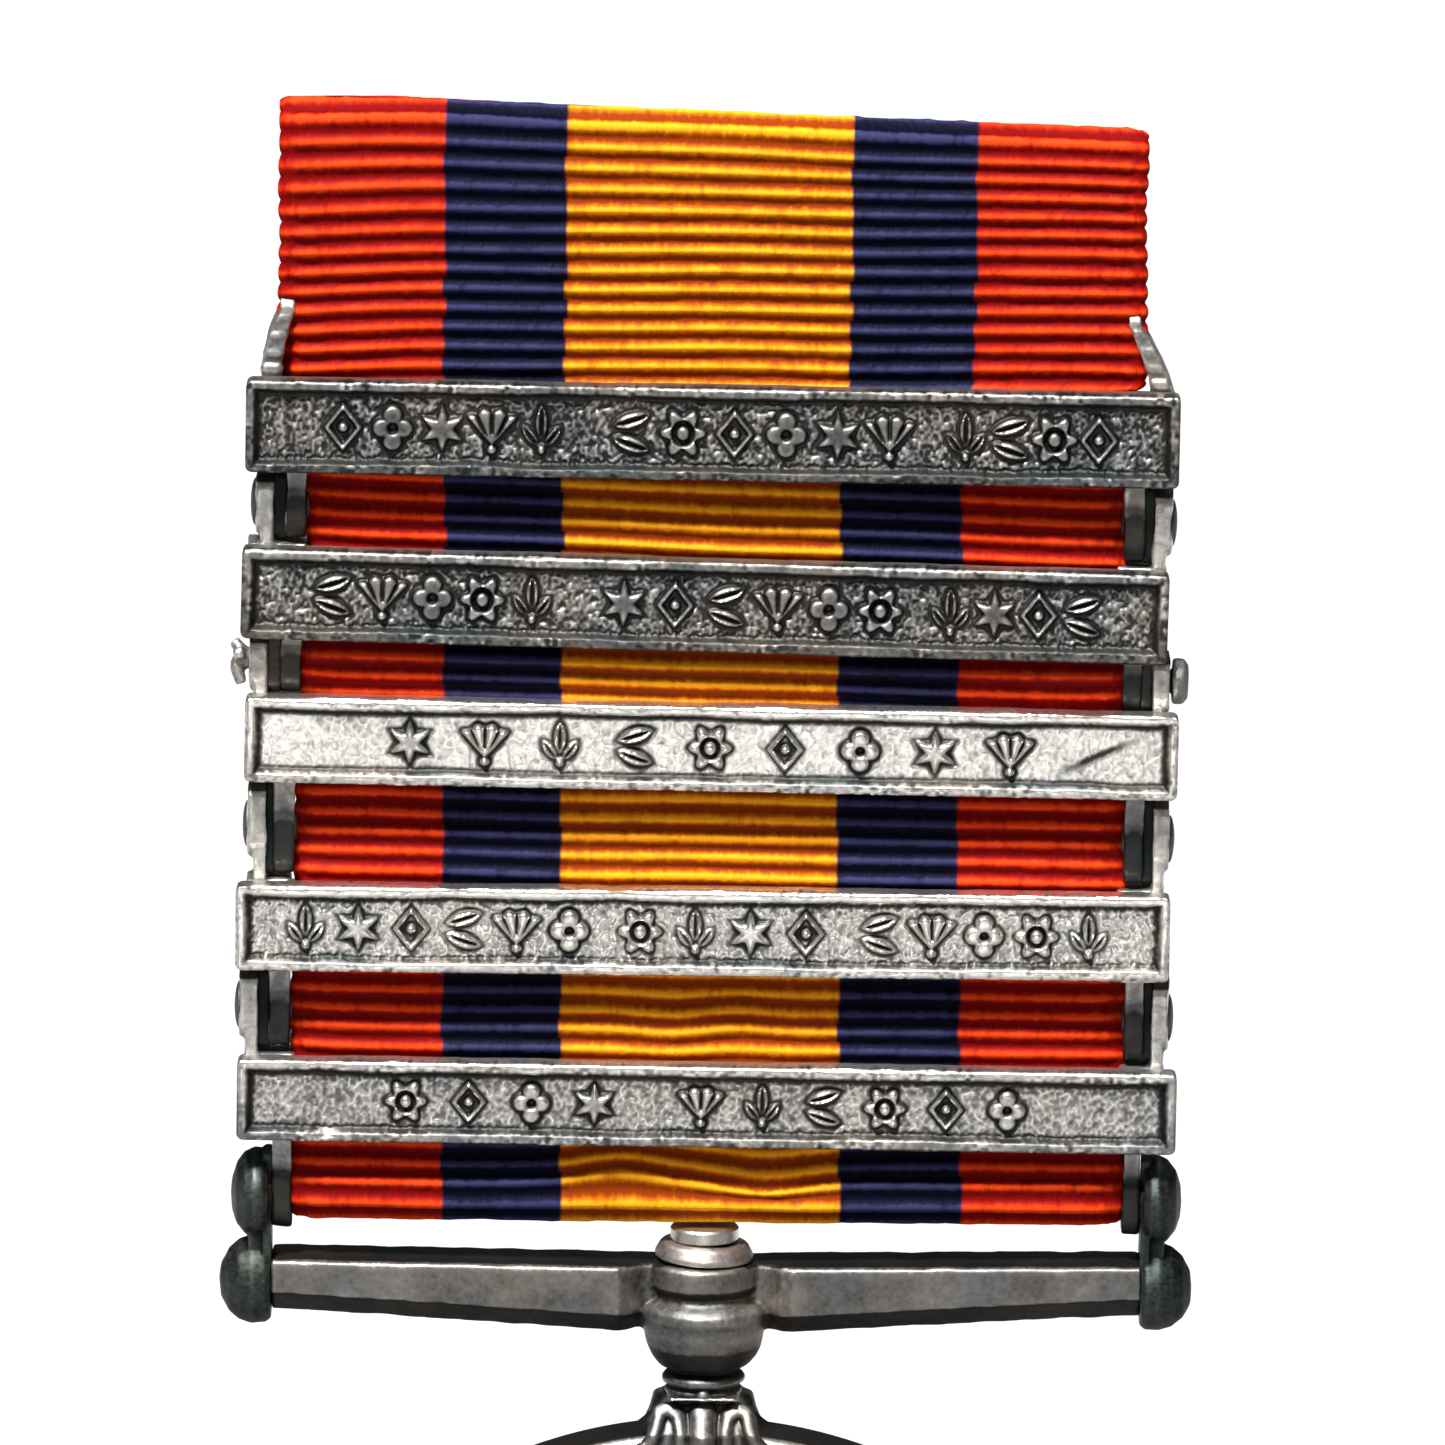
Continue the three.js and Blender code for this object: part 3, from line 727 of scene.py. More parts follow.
def buckle(x, z):
    """Waves of the ribs where the slack gathers above the swivel, as a shift up or down in mm."""
    low = smooth_step(-z, -ROD_Z - 4.5, -ROD_Z - 0.6)
    high = smooth_step(-z, -line_z(4) - 2.0, -line_z(4)) * (1 - smooth_step(
        -z, -line_z(4) + 0.6, -line_z(4) + 2.4))
    wave = np.exp(-(((x + 3.1) / 1.7) ** 2)) - np.exp(-(((x - 2.2) / 1.9) ** 2))
    lesser = np.exp(-(((x - 1.2) / 1.4) ** 2)) - 0.8 * np.exp(-(((x + 1.4) / 1.3) ** 2))
    flat_loop = 1 - smooth_step(-z, -ROD_Z - 0.7, -ROD_Z + 0.3)
    return 0.36 * low * wave * flat_loop + 0.13 * high * lesser


# degrees by which the ribs fall to the right between each clasp and the next
RIB_FALL = {1: 1.8, 2: 1.3, 3: 0.7, 4: 0.3}


def strip(path, length_at, front, seed, fall=0.0):
    """One run of ribbon as a closed sheet: points, faces, UVs by point and the rib shade (painted
    shade in the valleys, painted highlight on the ridges).

    path gives (y, z, normal y, normal z) rows; length_at is each row's distance along the cloth.
    """
    rows = len(path)
    s = np.linspace(-1, 1, COLUMNS)
    s = np.sign(s) * (1 - (1 - np.abs(s)) ** 1.25)  # columns crowd towards the selvedges
    z_mid = path[:, 1][:, None]
    base_x = s[None, :] * 16
    phase = (length_at[:, None] + 0.02 * np.sin(base_x * 0.5 + seed)
             + 0.03 * value_noise((rows, COLUMNS), 14, seed + 3)) / RIB
    rib = rib_profile(phase)
    near_edge = np.abs(s)[None, :]
    width = half_width(z_mid, s[None, :] > 0)
    if not front:
        width = width - 0.08
    bumps = np.abs(np.sin(math.pi * phase)) ** 0.7
    uneven = 1 + 0.6 * value_noise((rows, 1), 9, seed + 8)
    scallop = 0.15 * (bumps - 0.85) * uneven * smooth_step(near_edge, 0.95, 1.0)
    x = threads_at(base_x, z_mid, width) + np.sign(base_x) * scallop * (1 - 0.6 * neck(z_mid))
    x = x + 0.05 * value_noise((rows, COLUMNS), 18, seed + 5) * smooth_step(near_edge, 0.9, 1)
    yarn = yarn_lumps(phase, seed)
    relief = 0.20 * rib * (1 + yarn + 0.08 * value_noise((rows, COLUMNS), 7, seed + 1)) - 0.07
    cord = smooth_step(near_edge, 0.955, 0.975)  # the selvedge's own lumpier cord
    relief = relief * (1 - 0.45 * cord) + 0.03 * cord * value_noise((rows, COLUMNS), 4, seed + 9)
    round_edge = np.sqrt(np.clip(1 - smooth_step(near_edge, 0.978, 1.0) ** 2 * 0.97, 0, 1))
    half = (THICK / 2 - 0.04) * round_edge
    ahead = smooth_step(MID_Y - path[:, 0][:, None], -0.1, 0.2)
    curl = smooth_step(near_edge, 0.90, 1.0) * 0.16 * neck(z_mid)
    left_curl = smooth_step(-s[None, :], 0.945, 1.0) * smooth_step(-z_mid, 3.6, 6.0) * ahead
    curl = curl + 0.55 * left_curl * (1 - neck(z_mid))
    bulge = 0.10 * (1 - slot_share(z_mid)) * (1 - near_edge**2) * neck(z_mid)
    dz = buckle(x, z_mid) - x * math.tan(math.radians(fall)) if front else np.zeros_like(x)
    dz = dz - 0.23 * smooth_step(-x, 9.5, 16.5) * ahead * (1 - neck(z_mid))
    parting = 0.34 * np.exp(-(((z_mid - line_z(2)) / 0.7) ** 2))  # round the long pin
    ny, nz = path[:, 2][:, None], path[:, 3][:, None]
    y0 = path[:, 0][:, None] + (curl - bulge - parting) * (1 if front else -1)
    z0 = z_mid + dz
    sheets = []
    for side in (1, -1):
        off = side * (half + relief * round_edge)
        sheets.append(np.stack([x, y0 + ny * off, z0 + nz * off], -1).reshape(-1, 3))
    points = np.concatenate(sheets)
    count = rows * COLUMNS
    outer = grid_quads(rows, COLUMNS)
    inner = [face[::-1] for face in grid_quads(rows, COLUMNS, count)]
    rim = rim_indices(rows, COLUMNS)
    walls = [(rim[i], rim[i - 1], rim[i - 1] + count, rim[i] + count) for i in range(len(rim))]
    uv = np.stack([np.broadcast_to(base_x, phase.shape), phase], -1).reshape(-1, 2)
    # painted light: the cord's height, kept for the cloth's colour, gives painted shade in the
    # valleys and a painted highlight on the ridges, with painted shade along the selvedge cord
    shade = rib * (1 - 0.25 * cord) * (1 + 1.2 * yarn)
    return (points, outer + inner + walls,
            np.concatenate([uv, uv]), np.concatenate([shade.ravel()] * 2))


def straight(top, bottom, front):
    """Path rows of a straight run between two heights."""
    rows = max(4, int((top - bottom) / RIB * ROWS_PER_RIB))
    z = np.linspace(top, bottom, rows)
    way = -1.0 if front else 1.0
    y = np.full(rows, MID_Y + way * RUN_Y)
    return np.stack([y, z, np.full(rows, way), np.zeros(rows)], 1), -z


def bent(points):
    """Path rows along a polyline in (y, z), resampled evenly, with the normal on its left."""
    p = np.array(points, float)
    seg = np.linalg.norm(np.diff(p, axis=0), axis=1)
    along = np.concatenate([[0], np.cumsum(seg)])
    rows = int(along[-1] / RIB * ROWS_PER_RIB)
    t = np.linspace(0, along[-1], rows)
    y, z = np.interp(t, along, p[:, 0]), np.interp(t, along, p[:, 1])
    for _ in range(6):
        y[1:-1] = (y[:-2] + 2 * y[1:-1] + y[2:]) / 4
        z[1:-1] = (z[:-2] + 2 * z[1:-1] + z[2:]) / 4
    dy, dz = np.gradient(y), np.gradient(z)
    size = np.hypot(dy, dz)
    return np.stack([y, z, dz / size, -dy / size], 1), t


def ribbon_piece(name, strips):
    """Joins strips into one piece with its UV map and the rib shade, the painted shade and highlight
    that the cloth's colour reads.
    """
    points, faces, uvs, shades = [], [], [], []
    start = 0
    for p, f, uv, shade in strips:
        points.append(p)
        faces += [tuple(i + start for i in face) for face in f]
        uvs.append(uv)
        shades.append(shade)
        start += len(p)
    obj = make_mesh(name, np.concatenate(points), faces)
    mesh = obj.data
    layer = mesh.uv_layers.new(name="weave")
    corner = read_array(mesh.loops, "vertex_index", kind=int)
    layer.data.foreach_set("uv", np.concatenate(uvs)[corner].astype(np.float32).ravel())
    store(obj, "rib", np.concatenate(shades))
    return obj


def declare_ribbon(obj, node):
    dress(obj, RIBBON, node)


MID_Z = {k: place.centre[2] for k, place in CLASPS.items()}
FRONT_Y, BACK_Y = MID_Y - RUN_Y, MID_Y + RUN_Y


def blend_over(piece):
    """Bakes the piece's placing into its points."""
    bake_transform(piece)


def ribbon_top():
    """Up the front, over the brooch bar and down the back, where it is folded in."""
    bar_low, bar_high = box_mm("brooch_bar")
    over = bar_high[1] - MID_Y + 0.12 + THICK / 2
    top = FOLD_TOP - THICK / 2 - 0.05
    outline = [(FRONT_Y, MID_Z[1]), (FRONT_Y, CLASP_TOP + 0.2), (MID_Y - over, bar_low[2] + 1.0)]
    crease = 0.38
    outline += [(MID_Y - over, top - crease), (MID_Y - over + crease, top)]
    outline += [(MID_Y + over - crease, top), (MID_Y + over, top - crease)]
    outline += [(MID_Y + over, bar_low[2] - 0.1)]
    outline += [(BACK_Y, FLEX_Z), (BACK_Y, MID_Z[1])]
    path = bent(outline)[0]
    length = np.concatenate([[0], np.cumsum(np.hypot(*np.diff(path[:, :2], axis=0).T))])
    fold = strip(path, length - MID_Z[1], True, 11)
    piece = ribbon_piece("ribbon_top", [folded_in_behind(fold)])
    declare_ribbon(piece, "ribbon_fold")
    return piece


def ribbon_length(k):
    """Both runs from the middle of one clasp to the middle of the next."""
    top, bottom = MID_Z[k], MID_Z[k + 1]
    strips = [strip(*straight(top, bottom, front), front, 20 + 2 * k + front, RIB_FALL[k])
              for front in (True, False)]
    piece = ribbon_piece(f"ribbon_length_{k}", strips)
    declare_ribbon(piece, f"ribbon_{k}")
    return piece


def ribbon_end():
    """Down the front, round the rod and up again behind."""
    radius = 0.5 + 0.08 + THICK / 2
    outline = [(FRONT_Y, MID_Z[5]), (FRONT_Y, ROD_Z + 2.2)]
    outline += [(MID_Y + radius * math.cos(t), ROD_Z + radius * math.sin(t))
                for t in np.linspace(math.radians(165), math.radians(375), 17)]
    outline += [(BACK_Y, ROD_Z + 1.3), (BACK_Y, MID_Z[5])]
    path, along = bent(outline)
    end = strip(path * [1, 1, -1, -1], along - MID_Z[5], True, 41)
    piece = ribbon_piece("ribbon_end", [end])
    declare_ribbon(piece, "ribbon_5")
    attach(piece, "clasp_5")


TOP_TILT = math.tan(math.radians(1.9))


def tilted_top(points):
    """The brooch bar sits a little low at the right, and the fold with it."""
    points = points.copy()
    points[:, 2] -= (points[:, 0] * TOP_TILT - 0.08) * smooth_step(points[:, 2], FLEX_Z, FOLD_TOP)
    return points


def folded_in_behind(made):
    """Draws the rear of the top fold in to clear the pin's hinge and catch."""
    points, faces, uv, shade = made
    points = tilted_top(points)
    behind = smooth_step(points[:, 1], MID_Y + 0.1, MID_Y + 0.9)
    high = smooth_step(points[:, 2], FLEX_Z - 2.6, FLEX_Z + 0.6)
    points[:, 0] *= 1 - 0.05 * behind - 0.24 * behind * high
    return points, faces, uv, shade


top_piece = ribbon_top()
length_pieces = {number: ribbon_length(number) for number in range(1, CLASP_COUNT)}
ribbon_end()
blend_over(top_piece)
for number, length_piece in length_pieces.items():
    blend_over(length_piece)


# ---- clasp fronts -------------------------------------------------------------------------------

GRID = 0.046
RIM = 0.38
RECESS = 0.34
RAISED = 0.27


def lozenge(x, z):
    frame_line = 0.86 - np.abs(x) / 0.72 * 0.86 - np.abs(z) / 0.92 * 0.86
    ring = np.minimum(frame_line, 0.30 - frame_line)
    return np.maximum(ring, 0.20 - np.hypot(x, z))


def quatrefoil(x, z):
    lobes = [0.37 - np.hypot(x - dx, z - dz)
             for dx, dz in ((0.38, 0), (-0.38, 0), (0, 0.48), (0, -0.48))]
    return np.minimum(np.maximum.reduce(lobes), np.hypot(x, z) - 0.15)


def rosette(x, z):
    r, t = np.hypot(x, z / 1.12), np.arctan2(z, x)
    petals = 0.70 + 0.15 * np.cos(6 * t) - r
    return np.minimum(petals, np.abs(r - 0.32) - 0.055)


def leaf_at(x, z, cx, cz, tilt, length, width):
    """A pointed leaf with a groove down its middle."""
    c, s = math.cos(tilt), math.sin(tilt)
    u, v = c * (x - cx) + s * (z - cz), -s * (x - cx) + c * (z - cz)
    big = (length**2 + width**2) / (2 * width)
    blade = np.minimum(big - np.hypot(u, v - (big - width)), big - np.hypot(u, v + big - width))
    return np.minimum(blade, np.abs(v) - 0.035 + 0.05 * smooth_step(np.abs(u), length * 0.6, length))


def sprig(x, z):
    middle = leaf_at(x, z, 0, 0.28, math.pi / 2, 0.66, 0.24)
    left = leaf_at(x, z, -0.40, -0.22, math.radians(128), 0.48, 0.20)
    right = leaf_at(x, z, 0.40, -0.22, math.radians(52), 0.48, 0.20)
    stem = 0.16 - np.hypot(x, (z + 0.70) * 0.8)
    return np.maximum.reduce([middle, left, right, stem])


def leaf_pair(x, z):
    upper = leaf_at(x, z, 0, 0.44, math.radians(18), 0.74, 0.30)
    lower = leaf_at(x, z, 0, -0.44, math.radians(-18), 0.74, 0.30)
    return np.maximum(upper, lower)


def star(x, z):
    r, t = np.hypot(x, z), np.arctan2(x, z)
    sector = math.pi / 6
    fold = np.abs((t + sector) % (2 * sector) - sector)
    tip = 0.90
    edge = tip * 0.5 * math.sin(sector) / (0.5 * np.sin(sector - fold) + np.sin(fold) + 1e-9)
    return (edge - r) * 0.6


def shell(x, z):
    r, t = np.hypot(x, z + 0.62), np.arctan2(x, z + 0.62)
    fan = np.minimum(1.38 - r - 0.06 * np.cos(14 * t), (0.72 - np.abs(t)) * r)
    ribs = np.abs(np.sin(7 * t)) * 0.25 - 0.035
    return np.maximum(np.minimum(fan, np.where(r > 0.45, ribs, 1)), 0.2 - np.hypot(x, z + 0.72))


MOTIFS = (lozenge, sprig, quatrefoil, leaf_pair, star, rosette, shell)

# groups of ornaments on each clasp: (how many, first centre, last centre) in mm from the middle
ORNAMENTS = {
    1: ((5, -13.6, -6.3), (6, -3.0, 6.5), (4, 9.3, 14.2)),
    2: ((5, -13.8, -6.4), (6, -3.0, 6.5), (4, 9.1, 14.0)),
    3: ((9, -11.1, 11.0),),
    4: ((6, -14.6, -4.9), (4, -2.3, 3.8), (5, 6.5, 14.2)),
    5: ((4, -11.0, -4.1), (6, -0.2, 11.0)),
}
FIRST_MOTIF = {1: 0, 2: 3, 3: 4, 4: 1, 5: 5}

# how coarsely each field is pebbled, 0 to 1
PEBBLING = {1: 1.0, 2: 0.95, 3: 0.25, 4: 0.7, 5: 0.6}

# how much longer (+) each hand-made front is at its left and right ends, in mm
TRIMS = {1: (-0.11, 0.0), 2: (-0.11, -0.18), 3: (0.0, 0.0), 4: (0.07, 0.04), 5: (0.16, 0.22)}


def ornament_height(k, x, z, scale):
    """0 on the field to 1 on top of an ornament, and the groove round it."""
    out, moat = np.zeros_like(x), np.zeros_like(x)
    turn = FIRST_MOTIF[k]
    for count, first, last in ORNAMENTS[k]:
        for centre in np.linspace(first, last, count):
            near = np.abs(x - centre) < 1.25
            dx, dz = (x[near] - centre) / scale, z[near] / scale
            inside = MOTIFS[turn % len(MOTIFS)](dx, dz) * scale
            top = smooth_step(inside, -0.03, 0.085) * (0.90 + 0.10 * smooth_step(inside, 0, 0.3))
            out[near] = np.maximum(out[near], top)
            moat[near] = np.maximum(moat[near], smooth_step(inside, -0.17, -0.05))
            turn += 2 if k % 2 else 3
    return out, moat * (1 - out)


def nick(x, z, half_h, height, wide, tall):
    """A dent in the lower rim at the left, a little above the plate's lower edge."""
    return np.exp(-(((x + 13.9) / wide) ** 2) - ((z + half_h - height) / tall) ** 2)


def scratch(x, z, thick, long):
    """A slanting line at the right end."""
    return np.exp(-(((z - 0.45 * (x - 14.3)) / thick) ** 2) - ((x - 14.3) / long) ** 2)


def crowded(half, count, turn, share):
    """Grid lines from -half to half; a share of their spacing crowds towards the outer edges."""
    even = np.linspace(-1, 1, count)
    return half * np.sin(even * turn) / math.sin(turn) * share + half * (1 - share) * even


def clasp_front(k):
    low, high = local_size(k, "front")
    half_w, half_h = (high[0] - low[0]) / 2, (high[2] - low[2]) / 2
    front, back = low[1], high[1]
    # lines crowd towards the outer edge so that its rounding is smooth
    x, z = np.meshgrid(crowded(half_w, int(2 * half_w / GRID), 1.40, 0.06),
                       crowded(half_h, int(2 * half_h / GRID), 1.35, 0.25))
    shape = x.shape
    rough = PEBBLING[k]
    seed = 100 * k
    edge_x, edge_z = half_w - np.abs(x), half_h - np.abs(z)
    wobble = 0.035 * value_noise(shape, 60, seed) + 0.02 * value_noise(shape, 16, seed + 1)
    inward = np.minimum(edge_x, edge_z) + wobble * 1.2
    corner = np.hypot(np.maximum(0.28 - edge_x, 0), np.maximum(0.28 - edge_z, 0)) - 0.28
    bevel = 0.13
    fall = bevel - np.sqrt(np.clip(bevel**2 - np.clip(bevel - inward, 0, bevel) ** 2, 0, None))
    wall = smooth_step(inward, RIM - 0.06, RIM + 0.16)
    pebbles = value_noise(shape, 2.0, seed + 2) * 0.8 + value_noise(shape, 5.5, seed + 3) * 0.40
    streaks = value_noise((1, shape[1]), 2.6, seed + 4) * 0.35
    figure, moat = ornament_height(k, x, z, half_h / 1.72 * 1.02)
    field = -RECESS + 0.085 * rough * pebbles * (1 - moat) + 0.018 * (1 - rough) * streaks
    field = field - 0.05 * moat
    worn_top = -RECESS + RAISED + 0.012 * value_noise(shape, 5, seed + 6)
    inside = field * (1 - figure) + worn_top * figure
    dents = value_noise(shape, 3.2, seed + 8) * value_noise(shape, 14, seed + 9)
    crown = 0.012 * value_noise(shape, 9, seed + 7) + 0.045 * dents - 0.02 * smooth_step(
        np.abs(inward - RIM / 2), 0.1, 0.3)
    relief = crown * (1 - wall) + inside * wall - fall
    relief = blur(relief, 1)
    if k == 5:
        relief -= 0.16 * nick(x, z, half_h, 0.30, 0.42, 0.22)
    if k == 3:
        relief -= 0.05 * scratch(x, z, 0.10, 0.8)
    # outline: rounded corners and slightly uneven edges
    pull = np.clip(corner, 0, None)
    x_out = x - np.sign(x) * pull * (edge_x < 0.28) * 0.6
    z_out = z - np.sign(z) * pull * (edge_z < 0.28) * 0.6
    edge_share = 1 - smooth_step(np.minimum(edge_x, edge_z), 0, 0.4)
    z_out = z_out - np.sign(z) * edge_share * wobble * 0.7
    left, right = TRIMS[k]
    x_out = x_out + (right * (1 + x / half_w) - left * (1 - x / half_w)) / 2
    y = front - relief
    points = np.stack([x_out, y, z_out], -1).reshape(-1, 3)
    points, faces = close_back(points, grid_quads(*shape), rim_indices(*shape), back, 0.07)
    piece = make_mesh(f"clasp_{k}_plate", CLASPS[k].out(points), faces, 50)
    wear_and_shade = np.clip((relief - blur(relief, 14)) * 5.5, -1, 1)
    # painted light: the lower half of the rim gets painted shade, as do the inner wall from the rim
    # down to the field and the groove round each ornament; the outer edge is a little lighter all
    # round
    edge = smooth_step(0.22 - inward, 0, 0.18)
    side = smooth_step(inward, RIM - 0.14, RIM) * (1 - smooth_step(inward, RIM + 0.14, RIM + 0.34))
    lower = smooth_step(-z, 0, 0.5)
    lift = 0.12 * edge - (0.05 + 0.22 * lower) * (1 - wall) - 0.55 * side
    lift = lift - 0.16 * figure - 0.5 * moat + 0.55 * dents * (1 - wall)
    wear_and_shade = wear_and_shade + lift + 0.36 * rough * pebbles * wall * (1 - figure) * (1 - moat)
    if k == 3:
        wear_and_shade -= 0.9 * scratch(x, z, 0.16, 1.0)
    if k == 5:
        wear_and_shade += 1.2 * nick(x, z, half_h, 0.28, 0.36, 0.2)
    rest = np.full(len(piece.data.vertices) - x.size, 0.15)
    store(piece, "wear_and_shade", np.concatenate([wear_and_shade.ravel(), rest]))
    finish_piece(piece, CLASP_SILVER[k], f"clasp_{k}_front")


def close_back(points, faces, rim, back, bevel):
    """Carries a relief's border back to a flat rear face with a small bevel."""
    border = points[rim]
    centre = border.mean(0)
    deep, inset = border.copy(), border.copy()
    deep[:, 1] = back - bevel
    inset[:, 1] = back
    reach = border - centre
    size = np.abs(reach).max(0)
    for axis in (0, 2):
        inset[:, axis] -= bevel * np.clip(reach[:, axis] / size[axis], -1, 1)
    n, m = len(points), len(rim)
    for i in range(m):
        j = (i + 1) % m
        faces.append((rim[j], rim[i], n + i, n + j))
        faces.append((n + j, n + i, n + m + i, n + m + j))
    faces.append(tuple(n + m + i for i in range(m)))
    return np.concatenate([points, deep, inset]), faces


for number in CLASPS:
    clasp_front(number)


# ---- lugs, straps, rivets -----------------------------------------------------------------------


RIVET_X = 16.0  # how far out the rivet points lie
GAP_X = 15.6  # where the gaps between the clasps' ends are measured


def on_line(line, x):
    """The point of a rivet line, or of the rod below the last clasp, at a place across."""
    name = "suspender_hinge" if line == CLASP_COUNT else f"clasp_hinge_{line}_{line + 1}"
    axis = np.array(JOINTS[name]["axis"])
    return joint_mm(name) + axis * (x / axis[0])


def rivet_points(k, side):
    """Upper and lower rivet points of a lug in the clasp's frame, from the hinge lines."""
    x = SIGNS[side] * RIVET_X
    lower = CLASPS[k].into(on_line(k, x))[0]
    if k == 1:  # the unused ear has no line, so it goes by the lug's top
        return np.array([x, 0.0, local_size(k, f"lug_{side}")[1][2] - 1.2]), lower
    return CLASPS[k].into(on_line(k - 1, x))[0], lower


EAR_DEEP, EAR_TALL = 0.88, 1.18  # half its depth, and its least height beyond the rivet

# the (near, far) sides of the ears on each rivet line, in mm outwards from the rivet point
INNER_EARS = {
    "left": {1: (-1.22, -0.46), 2: (-1.02, -0.24), 3: (-0.76, 0.0), 4: (-0.66, 0.10),
             5: (-0.66, 0.06)},
    "right": {1: (-0.74, 0.02), 2: (-0.74, -0.06), 3: (-0.60, 0.10), 4: (-0.48, 0.24),
              5: (-0.52, 0.10)},
}
OUTER_EARS = {
    "left": {1: (-0.02, 0.66), 2: (0.24, 0.90), 3: (0.26, 0.96), 4: (0.50, 1.20)},
    "right": {1: (0.36, 1.04), 2: (0.34, 0.98), 3: (0.44, 1.06), 4: (0.52, 1.16)},
}
SPARE_EARS = {"left": (-0.32, 0.62), "right": (0.08, 1.08)}
SPARE_LEAN = {"left": 0.40, "right": 0.9}
SPARE_TAPER = {"left": 0.30, "right": 0.45}
GAP_CLEAR = 0.12


def rounded_outline(deep, below, above, corner=0.5):
    """A round-cornered oblong in (y, z)."""
    outline = []
    for start, y, z in ((0, 1, above), (90, -1, above), (180, -1, below), (270, 1, below)):
        middle = (y * (deep - corner), z - math.copysign(corner, z))
        outline += arc(middle, corner, start, start + 90, 6)
    return outline


def line_end(line, sign):
    """Height of a rivet line, or of the rod, at the left or right end."""
    return on_line(line, sign * GAP_X)[2]


def plate_end(k, sign):
    """Heights of a clasp's lower and upper edge at its left or right end."""
    return [CLASPS[k].out((sign * GAP_X, 0, corner[2]))[0][2] for corner in local_size(k, "front")]


def gap_reach(line, sign):
    """How far the gap between two clasps reaches above and below their rivets, at one end."""
    z = line_end(line, sign)
    bottom, top = plate_end(line, sign)[0], plate_end(line + 1, sign)[1]
    return max(bottom - z - GAP_CLEAR, EAR_TALL), max(z - top - GAP_CLEAR, EAR_TALL)


def ear(piece, point, sign, sides, to_z, reach, neck_share=0.7):
    """An eye about a rivet point that reaches past it, with a neck up or down to to_z."""
    near, far = sides
    span = sorted((point[0] + sign * near, point[0] + sign * far))
    up = to_z > point[2]
    below, above = (-reach, EAR_TALL) if up else (-EAR_TALL, reach)
    outline = [(y, z + point[2]) for y, z in rounded_outline(EAR_DEEP, below, above, 0.84)]
    piece.prism(outline, span[0], span[1], 0)
    span = sorted((point[0] + sign * near, point[0] + sign * (near + (far - near) * neck_share)))
    low, high = sorted((point[2], to_z))
    piece.block((span[0], -0.80, low), (span[1], 0.80, high))


def lug(k, side):
    sign = SIGNS[side]
    upper, lower = rivet_points(k, side)
    low, high = local_size(k, "front")
    body_top = min(high[2], upper[2] - 1.35) - (0.45 if k == 1 else 0)
    body_low = max(low[2], lower[2] + 1.35)
    piece = Lump()
    ears = [RIVET_X + INNER_EARS[side][line][0] - 0.03 for line in (k - 1, k) if line]
    xs = sorted((sign * min(ears + [15.12 if k < 3 else 15.25]), sign * 16.9))
    piece.block((xs[0], -0.76, body_low), (xs[1], 0.86, body_top))
    reach = EAR_TALL + 0.2 if k == CLASP_COUNT else gap_reach(k, sign)[1]
    ear(piece, lower, sign, INNER_EARS[side][k], body_low + 0.5, reach, 1.0)
    rivet_hole = cylinder(-2, 2, 0.5)
    piece.turned(rivet_hole, (lower[0], 0, lower[2]), (1, 0, 0), 24, cut=True)
    if k > 1:
        ear(piece, upper, sign, OUTER_EARS[side][k - 1], body_top - 0.4, gap_reach(k - 1, sign)[0])
        piece.turned(rivet_hole, (upper[0], 0, upper[2]), (1, 0, 0), 24, cut=True)
    else:
        spare_ear(piece, upper, sign, SPARE_EARS[side], body_top)
    seed = 10 * k + (sign > 0)
    root = upper[0] + sign * SPARE_EARS[side][0]

    def bend(points):
        """The spare ears thin out and lean in over the ribbon's edges."""
        if k > 1:
            return points
        above = np.clip((points[:, 2] - body_top) / 2.9, 0, 1) ** (1.5 if sign > 0 else 2.6)
        points = points.copy()
        points[:, 0] = root + (points[:, 0] - root) * (1 - SPARE_TAPER[side] * above)
        points[:, 0] -= sign * SPARE_LEAN[side] * above
        return points

    made = piece.cast(f"clasp_{k}_lug_{side}_cast", 0.07, 2, CLASPS[k], 0.06, seed, bend=bend)
    shade_ears(made, k, side)
    finish_piece(made, LUG_SILVER, f"clasp_{k}_lug_{side}")


def shade_ears(obj, k, side):
    """Painted light on the ears: painted shade on the inner ears below the eye; a painted highlight
    on the outer ears, with painted shade at their top corner under the plate above.
    """
    sign = SIGNS[side]
    points = points_mm(obj.data)
    out, z = sign * points[:, 0] - RIVET_X, points[:, 2]
    low, high = plate_end(k, sign)
    eye = line_end(k, sign) + (0.9 if k == CLASP_COUNT else 0.35)
    below = (z < low - 0.05) & (out < INNER_EARS[side][k][1] + 0.06)
    change = -0.95 * below * smooth_step(eye - z, -0.4, 0.5)
    if k > 1:
        corner = line_end(k - 1, sign) + gap_reach(k - 1, sign)[0] - 0.40
        above = (z > high + 0.05) & (out > OUTER_EARS[side][k - 1][0] - 0.06)
        change += above * (0.22 - 1.7 * smooth_step(z, corner - 0.1, corner + 0.1))
    add_wear_and_shade(obj, change)


